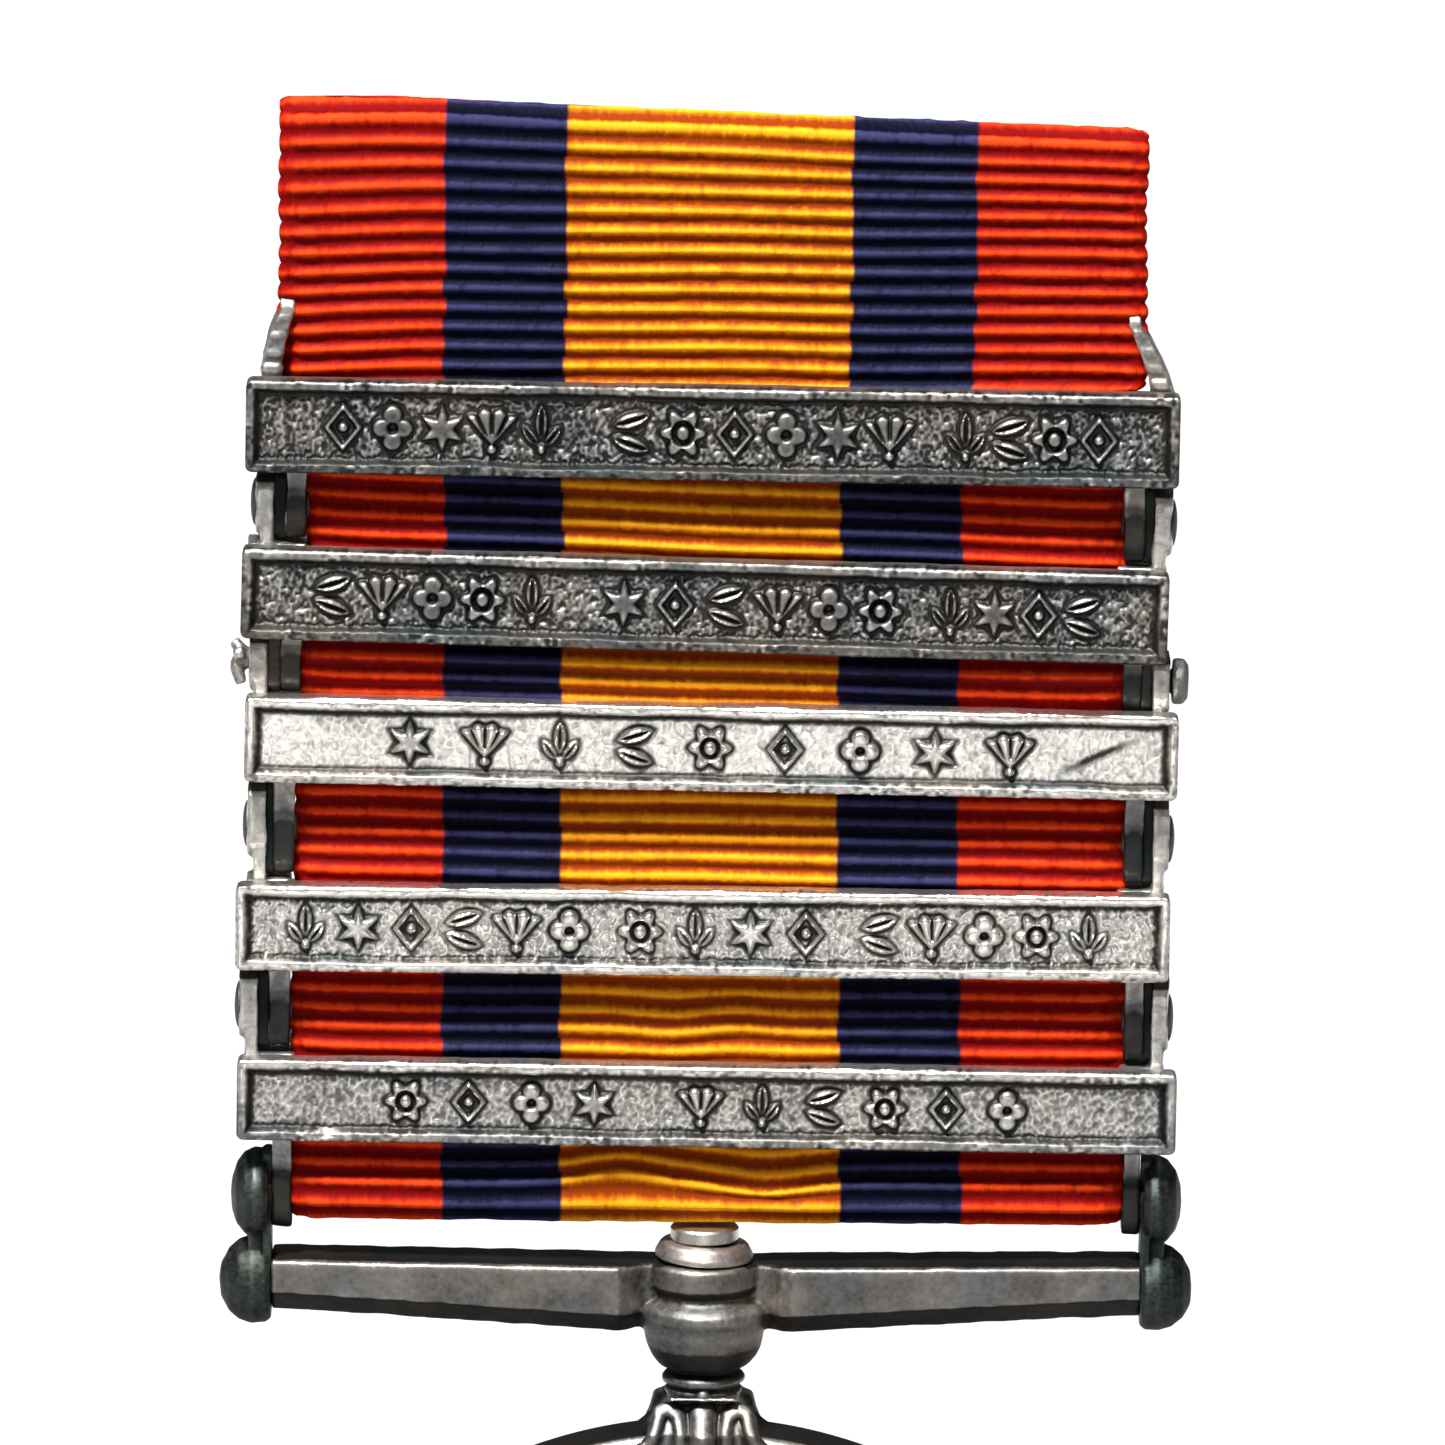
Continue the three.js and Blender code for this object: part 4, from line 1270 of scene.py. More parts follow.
def spare_ear(piece, point, sign, sides, body_top):
    """An unused ear, hammered knobbly."""
    near, far = sides
    span = sorted((point[0] + sign * near, point[0] + sign * far))
    outline = rounded_outline(EAR_DEEP, -1.2, 1.18, 0.45)
    piece.prism([(y, z + point[2]) for y, z in outline], span[0] + 0.08, span[1] - 0.08, 0)
    middle = (span[0] + span[1]) / 2
    for step, wide in ((-1.45, 1.0), (-0.85, 0.92), (-0.2, 1.0), (0.45, 0.86)):
        capsule(piece, (middle - 0.2 * wide, -EAR_DEEP + 0.2, point[2] + step),
                (middle + 0.2 * wide, -EAR_DEEP + 0.2, point[2] + step), 0.27, 0.27, 14)
    piece.block((span[0] + 0.08, -0.8, body_top - 0.4), (span[1] - 0.08, 0.8, point[2]))
    xs = sorted((sign * 15.12, point[0] + sign * max(far, 0.85)))
    piece.block((xs[0], -0.7, body_top - 0.5), (xs[1], 0.7, body_top + 0.1))


def strap(k):
    low, high = local_size(k, "back")
    piece = Lump()
    piece.block(low, high)
    made = piece.cast(f"clasp_{k}_strap", 0.12, 1, CLASPS[k], 0.02, 60 + k)
    finish_piece(made, CLASP_SILVER[k], f"clasp_{k}_back")


def line_place(name):
    """The frame at the middle of a hinge line, turned so that its X runs along it."""
    axis = -np.array(JOINTS[name]["axis"])
    return Place(joint_mm(name), -math.atan2(axis[2], axis[0]))


def gap_plate_span(line, side):
    """Just into the inner ear on one side and the outer ear on the other."""
    return INNER_EARS[side][line][1] - 0.04, OUTER_EARS[side][line][0] + 0.04


def gap_plate(piece, line, side):
    """A plate that fills the gap between two ears and is darkened with painted shade, standing for
    the shade in that gap.
    """
    sign = SIGNS[side]
    above, below = gap_reach(line, sign)
    near, far = (sign * (RIVET_X + step) for step in gap_plate_span(line, side))
    outline = rounded_outline(EAR_DEEP - 0.28, -below, above, 0.4)
    piece.prism(outline, min(near, far), max(near, far), 0)


def paint_shade_between_ears(obj, line):
    """Painted shade on the plates in the gaps between two ears."""
    x = points_mm(obj.data)[:, 0]
    dark = np.zeros(len(x))
    for side, sign in SIGNS.items():
        out = sign * x - RIVET_X
        low, high = gap_plate_span(line, side)
        dark = np.maximum(dark, (out > low - 0.05) & (out < high + 0.05))
    add_wear_and_shade(obj, -2.0 * dark)


def rivet(line, side):
    inside = RIVET_X + INNER_EARS[side][line][0]
    outside = RIVET_X + OUTER_EARS[side][line][1]
    dome = [(outside + 0.20 * math.sin(t), 0.90 * math.cos(t)) for t in np.linspace(0, 1.5, 8)]
    profile = [(inside - 0.10, 0), (inside - 0.10, 0.50), (inside - 0.06, 0.60), (inside, 0.62),
               (inside, 0.40), (outside - 0.03, 0.40), (outside - 0.03, 0.88)]
    piece = Lump()
    piece.turned(profile + dome + [(outside + 0.21, 0)], (0, 0, 0), (SIGNS[side], 0, 0), 40)
    gap_plate(piece, line, side)
    name = f"rivet_{line}_{line + 1}_{side}"
    place = line_place(f"clasp_hinge_{line}_{line + 1}")
    made = piece.cast(name + "_head", 0.055, 1, place, 0.01, 90 + line)
    paint_shade_between_ears(made, line)
    finish_piece(made, RIVET_SILVER, name)


def long_pin():
    place = line_place("clasp_hinge_2_3")
    piece = Lump()
    head = [(16.9, 0), (16.9, 0.40), (17.08, 0.40), (17.08, 0.80), (17.2, 0.86), (17.5, 0.84),
            (17.68, 0.62), (17.7, 0)]
    piece.turned(cylinder(-17.2, 17.2, 0.40), (0, 0, 0), (1, 0, 0), 20)
    piece.turned(head, (0, 0, 0), (1, 0, 0), 32)
    for side in SIGNS:
        gap_plate(piece, 2, side)
    bend = [((-17.1, 0, 0.25), (-17.42, -0.15, -0.30), 0.34),
            ((-17.40, -0.15, -0.25), (-17.20, -0.3, -0.90), 0.27),
            ((-17.1, 0, 0.15), (-17.52, 0.1, 0.62), 0.26),
            ((-17.15, -0.4, 0.30), (-17.5, -0.45, 0.20), 0.24)]
    for start, end, radius in bend:
        way = np.subtract(end, start)
        size = np.linalg.norm(way)
        piece.turned([(0, 0), (0, radius), (size, radius * 0.8), (size, 0)], start, way, 16)
    made = piece.cast("long_pin_wire", 0.08, 2, place, 0.02, 77)
    paint_shade_between_ears(made, 2)
    finish_piece(made, LUG_SILVER, "long_pin_2_3")


for number in CLASPS:
    strap(number)
    for end in SIGNS:
        lug(number, end)
for number in (1, 3, 4):
    for end in SIGNS:
        rivet(number, end)
long_pin()


# ---- suspender and swivel -----------------------------------------------------------------------


def over_rod(z):
    """Heights measured from the rod, which the suspender hangs by."""
    return ROD_Z + z


SAG = -0.22  # the bar hangs this far lower in the cheeks than its middle line
CHEEK_X = {-1: 16.08, 1: 16.18}  # inner faces of the cheeks


def suspender_bar():
    piece = Lump()
    back = MID_Y + 1.5
    half = 16.0
    rings = []
    for x in np.linspace(-CHEEK_X[-1] + 0.02, CHEEK_X[1] - 0.02, 81):
        grow = (1 - abs(x) / (half + 0.2)) ** 1.1
        scoop = 1 - smooth_step(np.array(abs(x)), 2.2, 3.2)  # hollowed beside the boss
        front = MID_Y - 1.35 + 0.85 * float(scoop)
        top = over_rod(SAG - 2.20 - 0.20 * grow)
        bottom = over_rod(SAG - 4.22 - 0.95 * grow)
        chamfer = 0.80 - 0.05 * grow
        ring = [(front, top - 0.10), (front + 0.10, top), (back - 0.25, top + 0.05),
                (back, top - 0.2), (back, bottom + 0.6), (back - 0.5, bottom),
                (front + chamfer * 1.1, bottom), (front + 0.02, bottom + chamfer)]
        rings.append([(x, y, z) for y, z in ring])
    count = len(rings[0])
    points = np.array(rings).reshape(-1, 3)
    faces = grid_quads(len(rings), count, wrap=True)
    faces += [tuple(reversed(range(count))), tuple(range(len(points) - count, len(points)))]
    piece.add(points, faces)
    boss = [(-2.42, 0), (-2.42, 1.80), (-2.55, 1.97), (-3.32, 1.99), (-3.45, 1.86),
            (-3.58, 1.74), (-3.80, 1.76), (-4.00, 2.10), (-4.20, 2.30), (-4.44, 2.32),
            (-4.75, 2.24), (-5.10, 2.24), (-5.60, 2.14), (-6.00, 1.96), (-6.28, 1.74),
            (-6.42, 1.55), (-6.42, 0)]
    piece.turned([(a + SAG / 2, r) for a, r in boss], (0, MID_Y, ROD_Z), (0, 0, 1), 72)
    piece.turned(cylinder(-7.5, -1.5, 0.93), (0, MID_Y, ROD_Z), (0, 0, 1), 40, cut=True)
    made = piece.cast("suspender_bar_cast", 0.08, 3, None, 0.03, 201, 9, 8.0)
    darken_top_and_shade_underside(made, over_rod(SAG - 2.6), MID_Y - 1.1)
    finish_piece(made, BAR_SILVER, "suspender_bar")


def darken_top_and_shade_underside(obj, floor_z, front_y):
    """Painted shade on the faces that look down, and a darker upper side behind the front edge."""
    points = points_mm(obj.data)
    facing_up = read_array(obj.data.vertices, "normal", 3)[:, 2]
    behind = smooth_step(points[:, 1], front_y, front_y + 0.25)
    dark = smooth_step(facing_up, 0.5, 0.8) * behind * (points[:, 2] > floor_z)
    under = smooth_step(-facing_up, 0.10, 0.95)
    add_wear_and_shade(obj, -1.3 * dark - 1.7 * under)


def cheek(side):
    sign = SIGNS[side]
    piece = Lump()
    face = CHEEK_X[sign]
    upper = [(0.10, 0), (0.10, 1.46), (0.34, 1.66), (0.62, 1.70), (1.0, 1.52), (1.30, 1.14),
             (1.46, 0.62), (1.52, 0)]
    lower = [(0.0, 0), (0.0, 1.45), (0.20, 1.62), (0.70, 1.66), (1.2, 1.50), (1.58, 1.16),
             (1.86, 0.62), (1.93, 0)]
    for profile, z in ((upper, -0.12), (lower, -3.42)):
        knob = [(face + out, radius) for out, radius in profile]
        piece.turned(knob, (0, MID_Y, over_rod(z)), (sign, 0, 0), 56)
    web = sorted((sign * face, sign * (face + 0.85)))
    piece.block((web[0], MID_Y - 1.0, over_rod(-3.0)), (web[1], MID_Y + 1.0, over_rod(-0.4)))
    flange = sorted((sign * (face - 0.02), sign * (face + 0.30)))
    piece.block((flange[0], MID_Y - 1.2, over_rod(-3.6)), (flange[1], MID_Y + 1.2, over_rod(0.4)))
    piece.block((flange[0], MID_Y - 0.85, over_rod(0.2)), (flange[1], MID_Y + 0.85, over_rod(1.55)))
    made = piece.cast(f"suspender_cheek_{side}_cast", 0.07, 4, None, 0.035, 210 + sign)
    finish_piece(made, DARK_SILVER, f"suspender_cheek_{side}")


def rod():
    left, right = CHEEK_X[-1] - 0.02, CHEEK_X[1] - 0.02
    points, faces = lathe(cylinder(-left, right, 0.50), (0, MID_Y, ROD_Z), (1, 0, 0), 32)
    piece = make_mesh("rod_wire", points, faces, 40)
    store(piece, "wear_and_shade", np.full(len(piece.data.vertices), 0.1))
    finish_piece(piece, BAR_SILVER, "ribbon_rod")


def leaning(points, centre, about_x, about_y):
    """Points turned a little about a centre, in degrees."""
    turn = Matrix.Rotation(math.radians(about_x), 3, "X") @ Matrix.Rotation(
        math.radians(about_y), 3, "Y")
    return (points - centre) @ np.array(turn).T + centre


def swivel():
    head = [(-6.57, 0), (-6.57, 0.84), (-1.75, 0.84), (-1.75, 1.20), (-1.68, 1.27), (-1.30, 1.27),
            (-1.22, 1.20), (-1.18, 0.9), (-1.17, 0)]
    piece = turned_piece("swivel_pin_turned", head, (0, MID_Y, ROD_Z), (0, 0, 1), 64)
    finish_piece(piece, SWIVEL_SILVER, "swivel_pin")
    ring = [(-2.46, 0), (-2.46, 1.74), (-2.38, 1.85), (-2.28, 1.85), (-1.90, 1.66), (-1.80, 1.54),
            (-1.80, 0)]
    washer = Lump()
    washer.turned(ring, (0, MID_Y, ROD_Z), (0, 0, 1), 64)
    washer.turned(cylinder(-3, -1, 0.98), (0, MID_Y, ROD_Z), (0, 0, 1), 40, cut=True)
    middle = np.array([0, MID_Y, over_rod(-2.13)])
    made = washer.cast("swivel_washer_ring", 0.06, 2, None, 0.02, 230,
                       bend=lambda points: leaning(points, middle, 0, 2.5))
    finish_piece(made, SWIVEL_SILVER, "swivel_washer")


suspender_bar()
for end in SIGNS:
    cheek(end)
rod()
swivel()


# ---- claw ---------------------------------------------------------------------------------------

DISC_LOW, DISC_HIGH = box_mm("medal_disc")
DISC_Z = (DISC_LOW[2] + DISC_HIGH[2]) / 2
DISC_R = (DISC_HIGH[2] - DISC_LOW[2]) / 2
DISC_HALF = (DISC_HIGH[1] - DISC_LOW[1]) / 2
PIN_LOW, PIN_HIGH = box_mm("claw_pin")
PIN_Z = (PIN_LOW[2] + PIN_HIGH[2]) / 2


def claw():
    top = box_mm("claw")[1][2]
    piece = Lump()

    def down(z):
        return top - z

    neck_rings = [(0.0, 0), (0.0, 1.22), (-0.12, 1.16), (-0.22, 1.46), (-0.34, 1.56),
                  (-0.48, 1.56), (-0.60, 1.40), (-0.66, 1.22), (-0.76, 1.40), (-0.88, 1.46),
                  (-1.0, 1.40), (-1.1, 1.15), (-1.6, 1.0), (-1.9, 0)]
    piece.turned(neck_rings, (0, MID_Y, top), (0, 0, 1), 56)
    # the web that sits on the disc's edge and spreads into two shoulders
    right = [(1.20, 0.85), (1.40, 1.25), (1.64, 1.75), (2.00, 2.30), (2.50, 2.75),
             (3.10, 3.05), (3.05, 3.40), (1.60, 3.30), (0.90, 4.00)]
    web = [(x, down(z)) for x, z in right] + [(-x, down(z)) for x, z in reversed(right)]
    piece.prism(web, MID_Y - 1.72, MID_Y + 1.72, 1)
    for face in (-1, 1):
        # the middle rib, which ends in the toe over the claw pin
        spine = [(1.30, 1.0, 0.40), (1.92, 1.5, 0.52), (2.05, 2.8, 0.56), (1.93, 4.35, 0.66)]
        for (y0, z0, r0), (y1, z1, r1) in zip(spine, spine[1:]):
            capsule(piece, (0, MID_Y + face * (y0 - r0 + 0.3), down(z0)),
                    (0, MID_Y + face * (y1 - r1 + 0.3), down(z1)), r0, r1)
        for sign in (-1, 1):
            # a scroll: an arch with a hollow middle, and an arm that curls out to the shoulder
            arch = [(0.84, 2.80), (0.84, 2.05), (0.94, 1.56), (1.28, 1.30), (1.62, 1.46),
                    (1.74, 2.00), (1.94, 2.55), (2.45, 2.95), (2.92, 3.15), (2.62, 3.50)]
            pad = MID_Y + face * 1.62
            capsule(piece, (sign * 1.24, pad, down(1.95)), (sign * 1.40, pad, down(2.8)), 0.27, 0.27)
            for (x0, z0), (x1, z1) in zip(arch, arch[1:]):
                capsule(piece, (sign * x0, MID_Y + face * 1.78, down(z0)),
                        (sign * x1, MID_Y + face * 1.78, down(z1)), 0.27, 0.27, 14)
    slot = cylinder(-(DISC_HALF + 0.05), DISC_HALF + 0.05, DISC_R + 0.06)
    piece.turned(slot, (0, MID_Y, DISC_Z), (0, 1, 0), 256, cut=True)
    piece.turned(cylinder(-4, 4, 0.44), (0, MID_Y, PIN_Z), (0, 1, 0), 32, cut=True)

    def flare(points):
        """Below the neck the claw starts slim and spreads to the disc's full thickness."""
        below = top - points[:, 2]
        share = 1 - 0.34 * smooth_step(below, 0.90, 1.15) * (1 - (below - 1.1) / 1.1).clip(0, 1)
        points = points.copy()
        points[:, 1] = MID_Y + (points[:, 1] - MID_Y) * share
        return points

    made = piece.cast("claw_cast", 0.055, 2, None, 0.03, 300, 9, 15.0, bend=flare)
    finish_piece(made, CLAW_SILVER, "claw")


def claw_pin():
    """A pin with a domed head on each side."""
    reach = (PIN_HIGH[1] - PIN_LOW[1]) / 2 + 0.08
    dome = [(reach - 0.32 + 0.30 * math.sin(t), 0.58 * math.cos(t)) for t in np.linspace(0, 1.45, 7)]
    half = [(0, 0.40), (reach - 0.32, 0.40), (reach - 0.32, 0.56)] + dome + [(reach, 0)]
    profile = [(-a, r) for a, r in reversed(half)] + half[1:]
    pin = turned_piece("claw_pin_turned", profile, (0, MID_Y, PIN_Z), (0, 1, 0), 40)
    finish_piece(pin, CLAW_SILVER, "claw_pin")


claw()
claw_pin()


# ---- disc ---------------------------------------------------------------------------------------

RINGS = 124
SPOKES = 400


def wreath(x, z, radius, count, open_share):
    """Laurel leaves in pairs along a ring, open at the top: 0 to 1."""
    out = np.zeros_like(x)
    span = math.pi * (1 - open_share)
    for sign in (-1, 1):
        for i in range(count):
            angle = -math.pi / 2 + sign * (0.10 + span * (i + 0.5) / count)
            cx, cz = radius * math.cos(angle), radius * math.sin(angle)
            along = angle + sign * math.pi / 2
            for lean, shift in ((0.42, 0.62), (-0.42, -0.62)):
                px = cx + shift * math.cos(angle)
                pz = cz + shift * math.sin(angle)
                leaf = leaf_at(x, z, px, pz, along - sign * lean, 1.25, 0.46)
                out = np.maximum(out, smooth_step(leaf, -0.02, 0.16))
    from_bottom = np.abs((np.arctan2(z, x) + math.pi / 2 + math.pi) % (2 * math.pi) - math.pi)
    share = smooth_step(-from_bottom, -span, -span + 0.05)
    stem = smooth_step(0.12 - np.abs(np.hypot(x, z) - radius), -0.03, 0.06)
    return np.maximum(out, stem * share * 0.7)


def radiant_star(x, z, points_count, size):
    """A many-pointed star with roof-shaped rays round a domed boss."""
    r, t = np.hypot(x, z), np.arctan2(x, z)
    sector = math.pi / points_count
    fold = np.abs((t + sector) % (2 * sector) - sector)
    inner = size * 0.52
    edge = inner * size * math.sin(sector) / (
        inner * np.sin(sector - fold) + size * np.sin(fold) + 1e-9)
    roof = np.clip((edge - r) * 0.42 + 0.12, 0, 1) * smooth_step(edge - r, -0.05, 0.15)
    boss = smooth_step(size * 0.27 - r, -0.05, 0.12)
    ring = smooth_step(0.16 - np.abs(r - size * 0.27), -0.04, 0.08)
    dome = np.sqrt(np.clip(1 - (r / (size * 0.27)) ** 2, 0, 1))
    outside = smooth_step(r, size * 0.27, size * 0.27 + 0.3)
    return np.maximum(np.maximum(roof * 0.9 * outside, ring), boss * (0.45 + 0.5 * dome))


def beads(x, z, radius, count, size):
    r, t = np.hypot(x, z), np.arctan2(z, x)
    pitch = 2 * math.pi / count
    local = (t + pitch / 2) % pitch - pitch / 2
    return np.sqrt(np.clip(1 - ((r - radius) ** 2 + (local * radius) ** 2) / size**2, 0, 1))


def beaded(x, z, figure):
    """A figure inside the ring of beads that both faces have."""
    return np.maximum(figure, 0.6 * beads(x, z, 15.75, 96, 0.36)) * (np.hypot(x, z) < 16.6)


def obverse(x, z):
    leaves = 0.85 * wreath(x, z, 12.2, 13, 0.10)
    return beaded(x, z, np.maximum(leaves, 0.95 * radiant_star(x, z, 8, 8.4)))


def reverse(x, z):
    leaves = 0.9 * wreath(x, z, 11.0, 12, 0.16)
    tie = smooth_step(0.75 - np.hypot(x, z + 11.0), -0.05, 0.2)
    return beaded(x, z, np.maximum(leaves, tie))


def disc_face(design, mirror):
    """Radius, angle and relief of one face, ring by ring, centre first."""
    share = np.linspace(0, 1, RINGS + 1)[1:]
    radius = DISC_R * (1 - (1 - share) ** 1.12)
    angle = np.linspace(0, 2 * math.pi, SPOKES, endpoint=False)
    r, t = np.meshgrid(radius, angle, indexing="ij")
    x, z = r * np.cos(t), r * np.sin(t)
    recess = 0.34
    inner = DISC_R - 1.0
    rim = smooth_step(r, inner - 0.10, inner + 0.06)
    relief = -recess * (1 - rim) + 0.30 * design(x * mirror, z) * (1 - rim)
    bevel = 0.42
    drop = bevel - np.sqrt(np.clip(bevel**2 - np.clip(r - (DISC_R - bevel), 0, bevel) ** 2, 0, None))
    relief = relief - drop + 0.006 * value_noise(r.shape, 12, 400)
    return x, z, relief, rim


def disc():
    points, wears, faces = [], [], []
    centres = []
    for face, design in ((-1, obverse), (1, reverse)):
        x, z, relief, rim = disc_face(design, -face)
        y = MID_Y + face * (DISC_HALF + relief)
        start = sum(len(p) for p in points)
        points.append(np.stack([x, y, z + DISC_Z], -1).reshape(-1, 3))
        wears.append((np.clip((relief - blur(relief, 5)) * 9, -1, 1) + 0.25 * rim - 0.05).ravel())
        quads = grid_quads(RINGS, SPOKES, start, wrap=True)
        faces += [quad[::-1] if face > 0 else quad for quad in quads]
        centres.append((start, y[0].mean(), face))
    total = sum(len(p) for p in points)
    middle = []
    for start, y, face in centres:
        tip = total + len(middle)
        middle.append((0.0, y, DISC_Z))
        for i in range(SPOKES):
            j = (i + 1) % SPOKES
            tri = (tip, start + i, start + j)
            faces.append(tri if face > 0 else tuple(reversed(tri)))
    a = (RINGS - 1) * SPOKES
    b = a + RINGS * SPOKES
    for i in range(SPOKES):
        j = (i + 1) % SPOKES
        faces.append((a + i, a + j, b + j, b + i))
    wears.append(np.full(len(middle), 0.3))
    piece = make_mesh("disc_struck", np.concatenate(points + [np.array(middle)]), faces, 60)
    fix_normals(piece)
    store(piece, "wear_and_shade", np.concatenate(wears))
    finish_piece(piece, DISC_SILVER, "medal_disc")


def fix_normals(obj):
    solid = bmesh.new()
    solid.from_mesh(obj.data)
    bmesh.ops.recalc_face_normals(solid, faces=solid.faces)
    solid.to_mesh(obj.data)
    solid.free()


disc()


# ---- brooch -------------------------------------------------------------------------------------


HINGE = joint_mm("pin_swing")
FOOT = box_mm("brooch_bar")[1][1] + 0.02  # where the hinge and the catch are soldered to the bar


def brooch_bar():
    bar = Lump()
    bar.block(*box_mm("brooch_bar"))
    made = bar.cast("brooch_bar_strip", 0.12, 1, None, 0.02, 501, bend=tilted_top)
    finish_piece(made, BAR_SILVER, "brooch_bar")


def pin_knuckle():
    """Two leaves on a plate, either side of the pin's eye."""
    low, high = box_mm("pin_knuckle")
    knuckle = Lump()
    knuckle.block((HINGE[0] - 1.2, FOOT, low[2]), (HINGE[0] + 1.2, FOOT + 0.48, high[2] + 0.2))
    leaf = arc((HINGE[0], HINGE[1]), 0.95, 0, 180, 16)
    leaf += [(HINGE[0] - 0.95, FOOT), (HINGE[0] + 0.95, FOOT)]
    for z0, z1 in ((-1.1, -0.6), (0.6, 1.1)):
        knuckle.prism(leaf, HINGE[2] + z0, HINGE[2] + z1, 2)
    knuckle.turned(cylinder(-3, 3, 0.42), HINGE, (0, 0, 1), 24, cut=True)
    made = knuckle.cast("pin_knuckle_bent", 0.06, 2, None, 0.015, 502)
    finish_piece(made, BAR_SILVER, "pin_knuckle")


def pin_rivet():
    head = [(1.40, 0), (1.38, 0.30), (1.28, 0.55), (1.14, 0.60), (1.12, 0.35)]
    profile = [(-a, r) for a, r in head] + [(a, r) for a, r in reversed(head)]
    piece = turned_piece("pin_rivet_turned", profile, HINGE, (0, 0, 1), 32)
    finish_piece(piece, LUG_SILVER, "pin_rivet")


def pin_catch():
    """A hook over the pin, closed behind and open underneath."""
    x0, x1 = (corner[0] for corner in box_mm("pin_catch"))
    catch = Lump()
    hook = arc((0, 0), 0.90, -55, 150, 26) + list(reversed(arc((0, 0), 0.55, -55, 150, 26)))
    catch.prism(hook, x0, x1, 0)
    catch.block((x0, FOOT, 0.55), (x1, 0.0, 0.90))
    catch.block((x0, FOOT, -1.0), (x1, FOOT + 0.42, 0.90))
    made = catch.cast("pin_catch_bent", 0.055, 2, None, 0.012, 503)
    finish_piece(made, BAR_SILVER, "pin_catch")


def brooch_pin():
    """A spring wire that runs from an eye on the hinge out to a point."""
    wire = Lump()
    eye = [(-0.38, 0), (-0.38, 0.82), (-0.26, 0.94), (0.26, 0.94), (0.38, 0.82), (0.38, 0)]
    wire.turned(eye, HINGE, (0, 0, 1), 40)
    length = HINGE[0] - box_mm("brooch_pin")[0][0]
    shank = [(0.5, 0), (0.5, 0.37), (length - 4, 0.37), (length - 1.6, 0.26),
             (length - 0.4, 0.11), (length, 0)]
    wire.turned(shank, HINGE, (-1, 0, 0), 28)
    wire.turned(cylinder(-1, 1, 0.42), HINGE, (0, 0, 1), 24, cut=True)
    made = wire.cast("brooch_pin_wire", 0.06, 2, None, 0.0, 504)
    finish_piece(made, WIRE, "brooch_pin")


brooch_bar()
pin_knuckle()
pin_rivet()
pin_catch()
brooch_pin()


# ---- camera, light and stage --------------------------------------------------------------------

VIEW_TARGET = Vector((0.5, MID_Y, -20.2)) * MM
VIEW_DISTANCE = 600 * MM
VIEW_ELEVATION = math.radians(12)
VIEW_SIDE = 53.3 * MM  # what the square picture spans at the target
VIEW_ROLL = math.radians(0.5)


def camera():
    data = bpy.data.cameras.new("camera")
    data.sensor_width = 36
    data.lens = 36 * VIEW_DISTANCE / VIEW_SIDE
    data.clip_start, data.clip_end = 0.02, 20
    obj = bpy.data.objects.new("camera", data)
    bpy.context.scene.collection.objects.link(obj)
    away = Vector((0, -math.cos(VIEW_ELEVATION), math.sin(VIEW_ELEVATION)))
    turn = Matrix.Rotation(math.pi / 2 - VIEW_ELEVATION, 4, "X") @ Matrix.Rotation(
        VIEW_ROLL, 4, "Z")
    obj.matrix_world = Matrix.Translation(VIEW_TARGET + away * VIEW_DISTANCE) @ turn
    bpy.context.scene.camera = obj


def area_light(name, place, size, power, colour=(1, 1, 1)):
    """A square soft light at a place in metres, facing the medal."""
    data = bpy.data.lights.new(name, "AREA")
    data.shape, data.size, data.energy, data.color = "SQUARE", size, power, colour
    obj = bpy.data.objects.new(name, data)
    bpy.context.scene.collection.objects.link(obj)
    obj.location = place
    way = VIEW_TARGET - Vector(place)
    obj.rotation_euler = way.to_track_quat("-Z", "Y").to_euler()


PALE = 0.93  # what the camera sees behind the medal


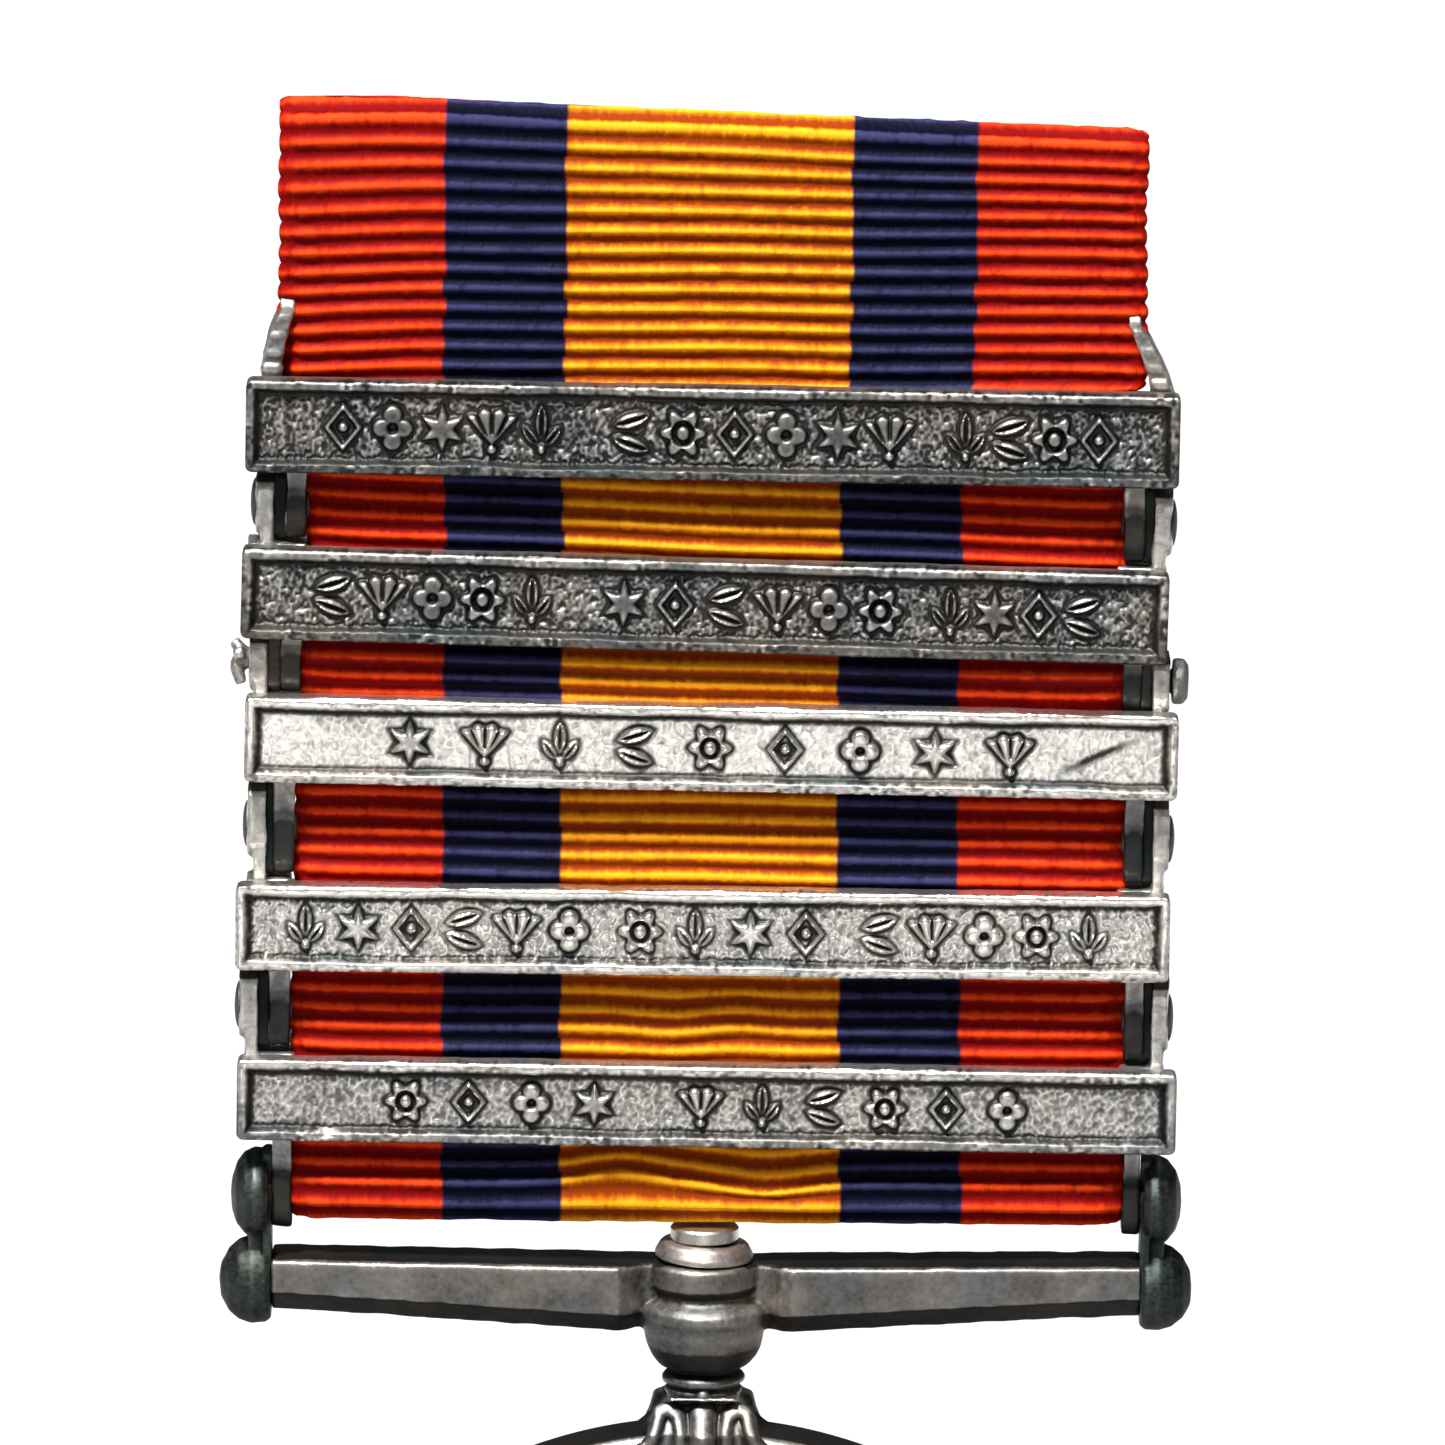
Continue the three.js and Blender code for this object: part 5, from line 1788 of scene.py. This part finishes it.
def surroundings():
    """A dim studio for the silver to mirror, which the camera itself sees as an even pale tone."""
    n = Nodes(bpy.data.worlds.new("studio"), "Background")
    bpy.context.scene.world = n.owner
    split = n.node("ShaderNodeSeparateXYZ")
    n.link(n.node("ShaderNodeTexCoord").outputs["Generated"], split.inputs[0])
    stops = ((0.0, 0.04), (0.45, 0.06), (0.56, 0.08), (0.85, 0.22))
    greys = [(at, (value, value, value * 1.01)) for at, value in stops]
    n.link(n.ramp(n.span(split.outputs[2], -1.0, 1.0), greys), n.shader.inputs[0])
    # a dark wall behind, above the floor
    n.link(n.span(split.outputs[1], -0.1, 0.5, 1.0, 0.3), n.shader.inputs[1])
    seen = n.node("ShaderNodeLightPath").outputs["Is Camera Ray"]
    pale = n.node("ShaderNodeBackground")
    pale.inputs[0].default_value = (PALE, PALE, PALE, 1)
    choose = n.node("ShaderNodeMixShader")
    for socket, source in zip(choose.inputs, (seen, n.shader.outputs[0], pale.outputs[0])):
        n.link(source, socket)
    n.link(choose.outputs[0], n.tree.nodes["World Output"].inputs[0])
    points = [(x / MM, y / MM, -0.36 / MM) for y in (-4, 4) for x in (-4, 4)]
    floor = make_mesh("studio_floor", points, [(0, 1, 3, 2)])
    floor.data.materials.append(studio_paper())
    floor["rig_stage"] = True


def studio_paper():
    """Paper that glows from about a metre away on and is dim nearer, but pale to the camera."""
    n = Nodes(bpy.data.materials.new("studio_paper"))
    split = n.node("ShaderNodeSeparateXYZ")
    n.link(n.place(), split.inputs[0])
    x, y = split.outputs[0], split.outputs[1]
    away = n.math("SQRT", n.math("ADD", n.math("MULTIPLY", x, x), n.math("MULTIPLY", y, y)))
    glow = n.math("MULTIPLY", n.span(away, 0.5, 1.1, 0.08, 1.0), n.span(y, -0.6, 0.8, 0.30, 1.0))
    seen = n.node("ShaderNodeLightPath").outputs["Is Camera Ray"]
    glow = n.math("MAXIMUM", glow, n.math("MULTIPLY", seen, PALE))
    n.shader.inputs["Base Color"].default_value = (0.3, 0.3, 0.3, 1)
    n.shader.inputs["Roughness"].default_value = 0.9
    n.shader.inputs["Emission Color"].default_value = (1, 1, 1, 1)
    n.link(glow, n.shader.inputs["Emission Strength"])
    return n.owner


camera()
surroundings()
area_light("key", (-0.22, -0.50, 0.88), 0.16, 24)
area_light("top", (0.2, 0.35, 0.9), 0.5, 1.5)
area_light("card", (-0.04, -1.16, -0.27), 0.45, 1.3)
bpy.context.scene.view_settings.view_transform = "Standard"

for corners in (cad_box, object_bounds()):
    print("box", [[round(v / MM, 2) for v in corner] for corner in corners])
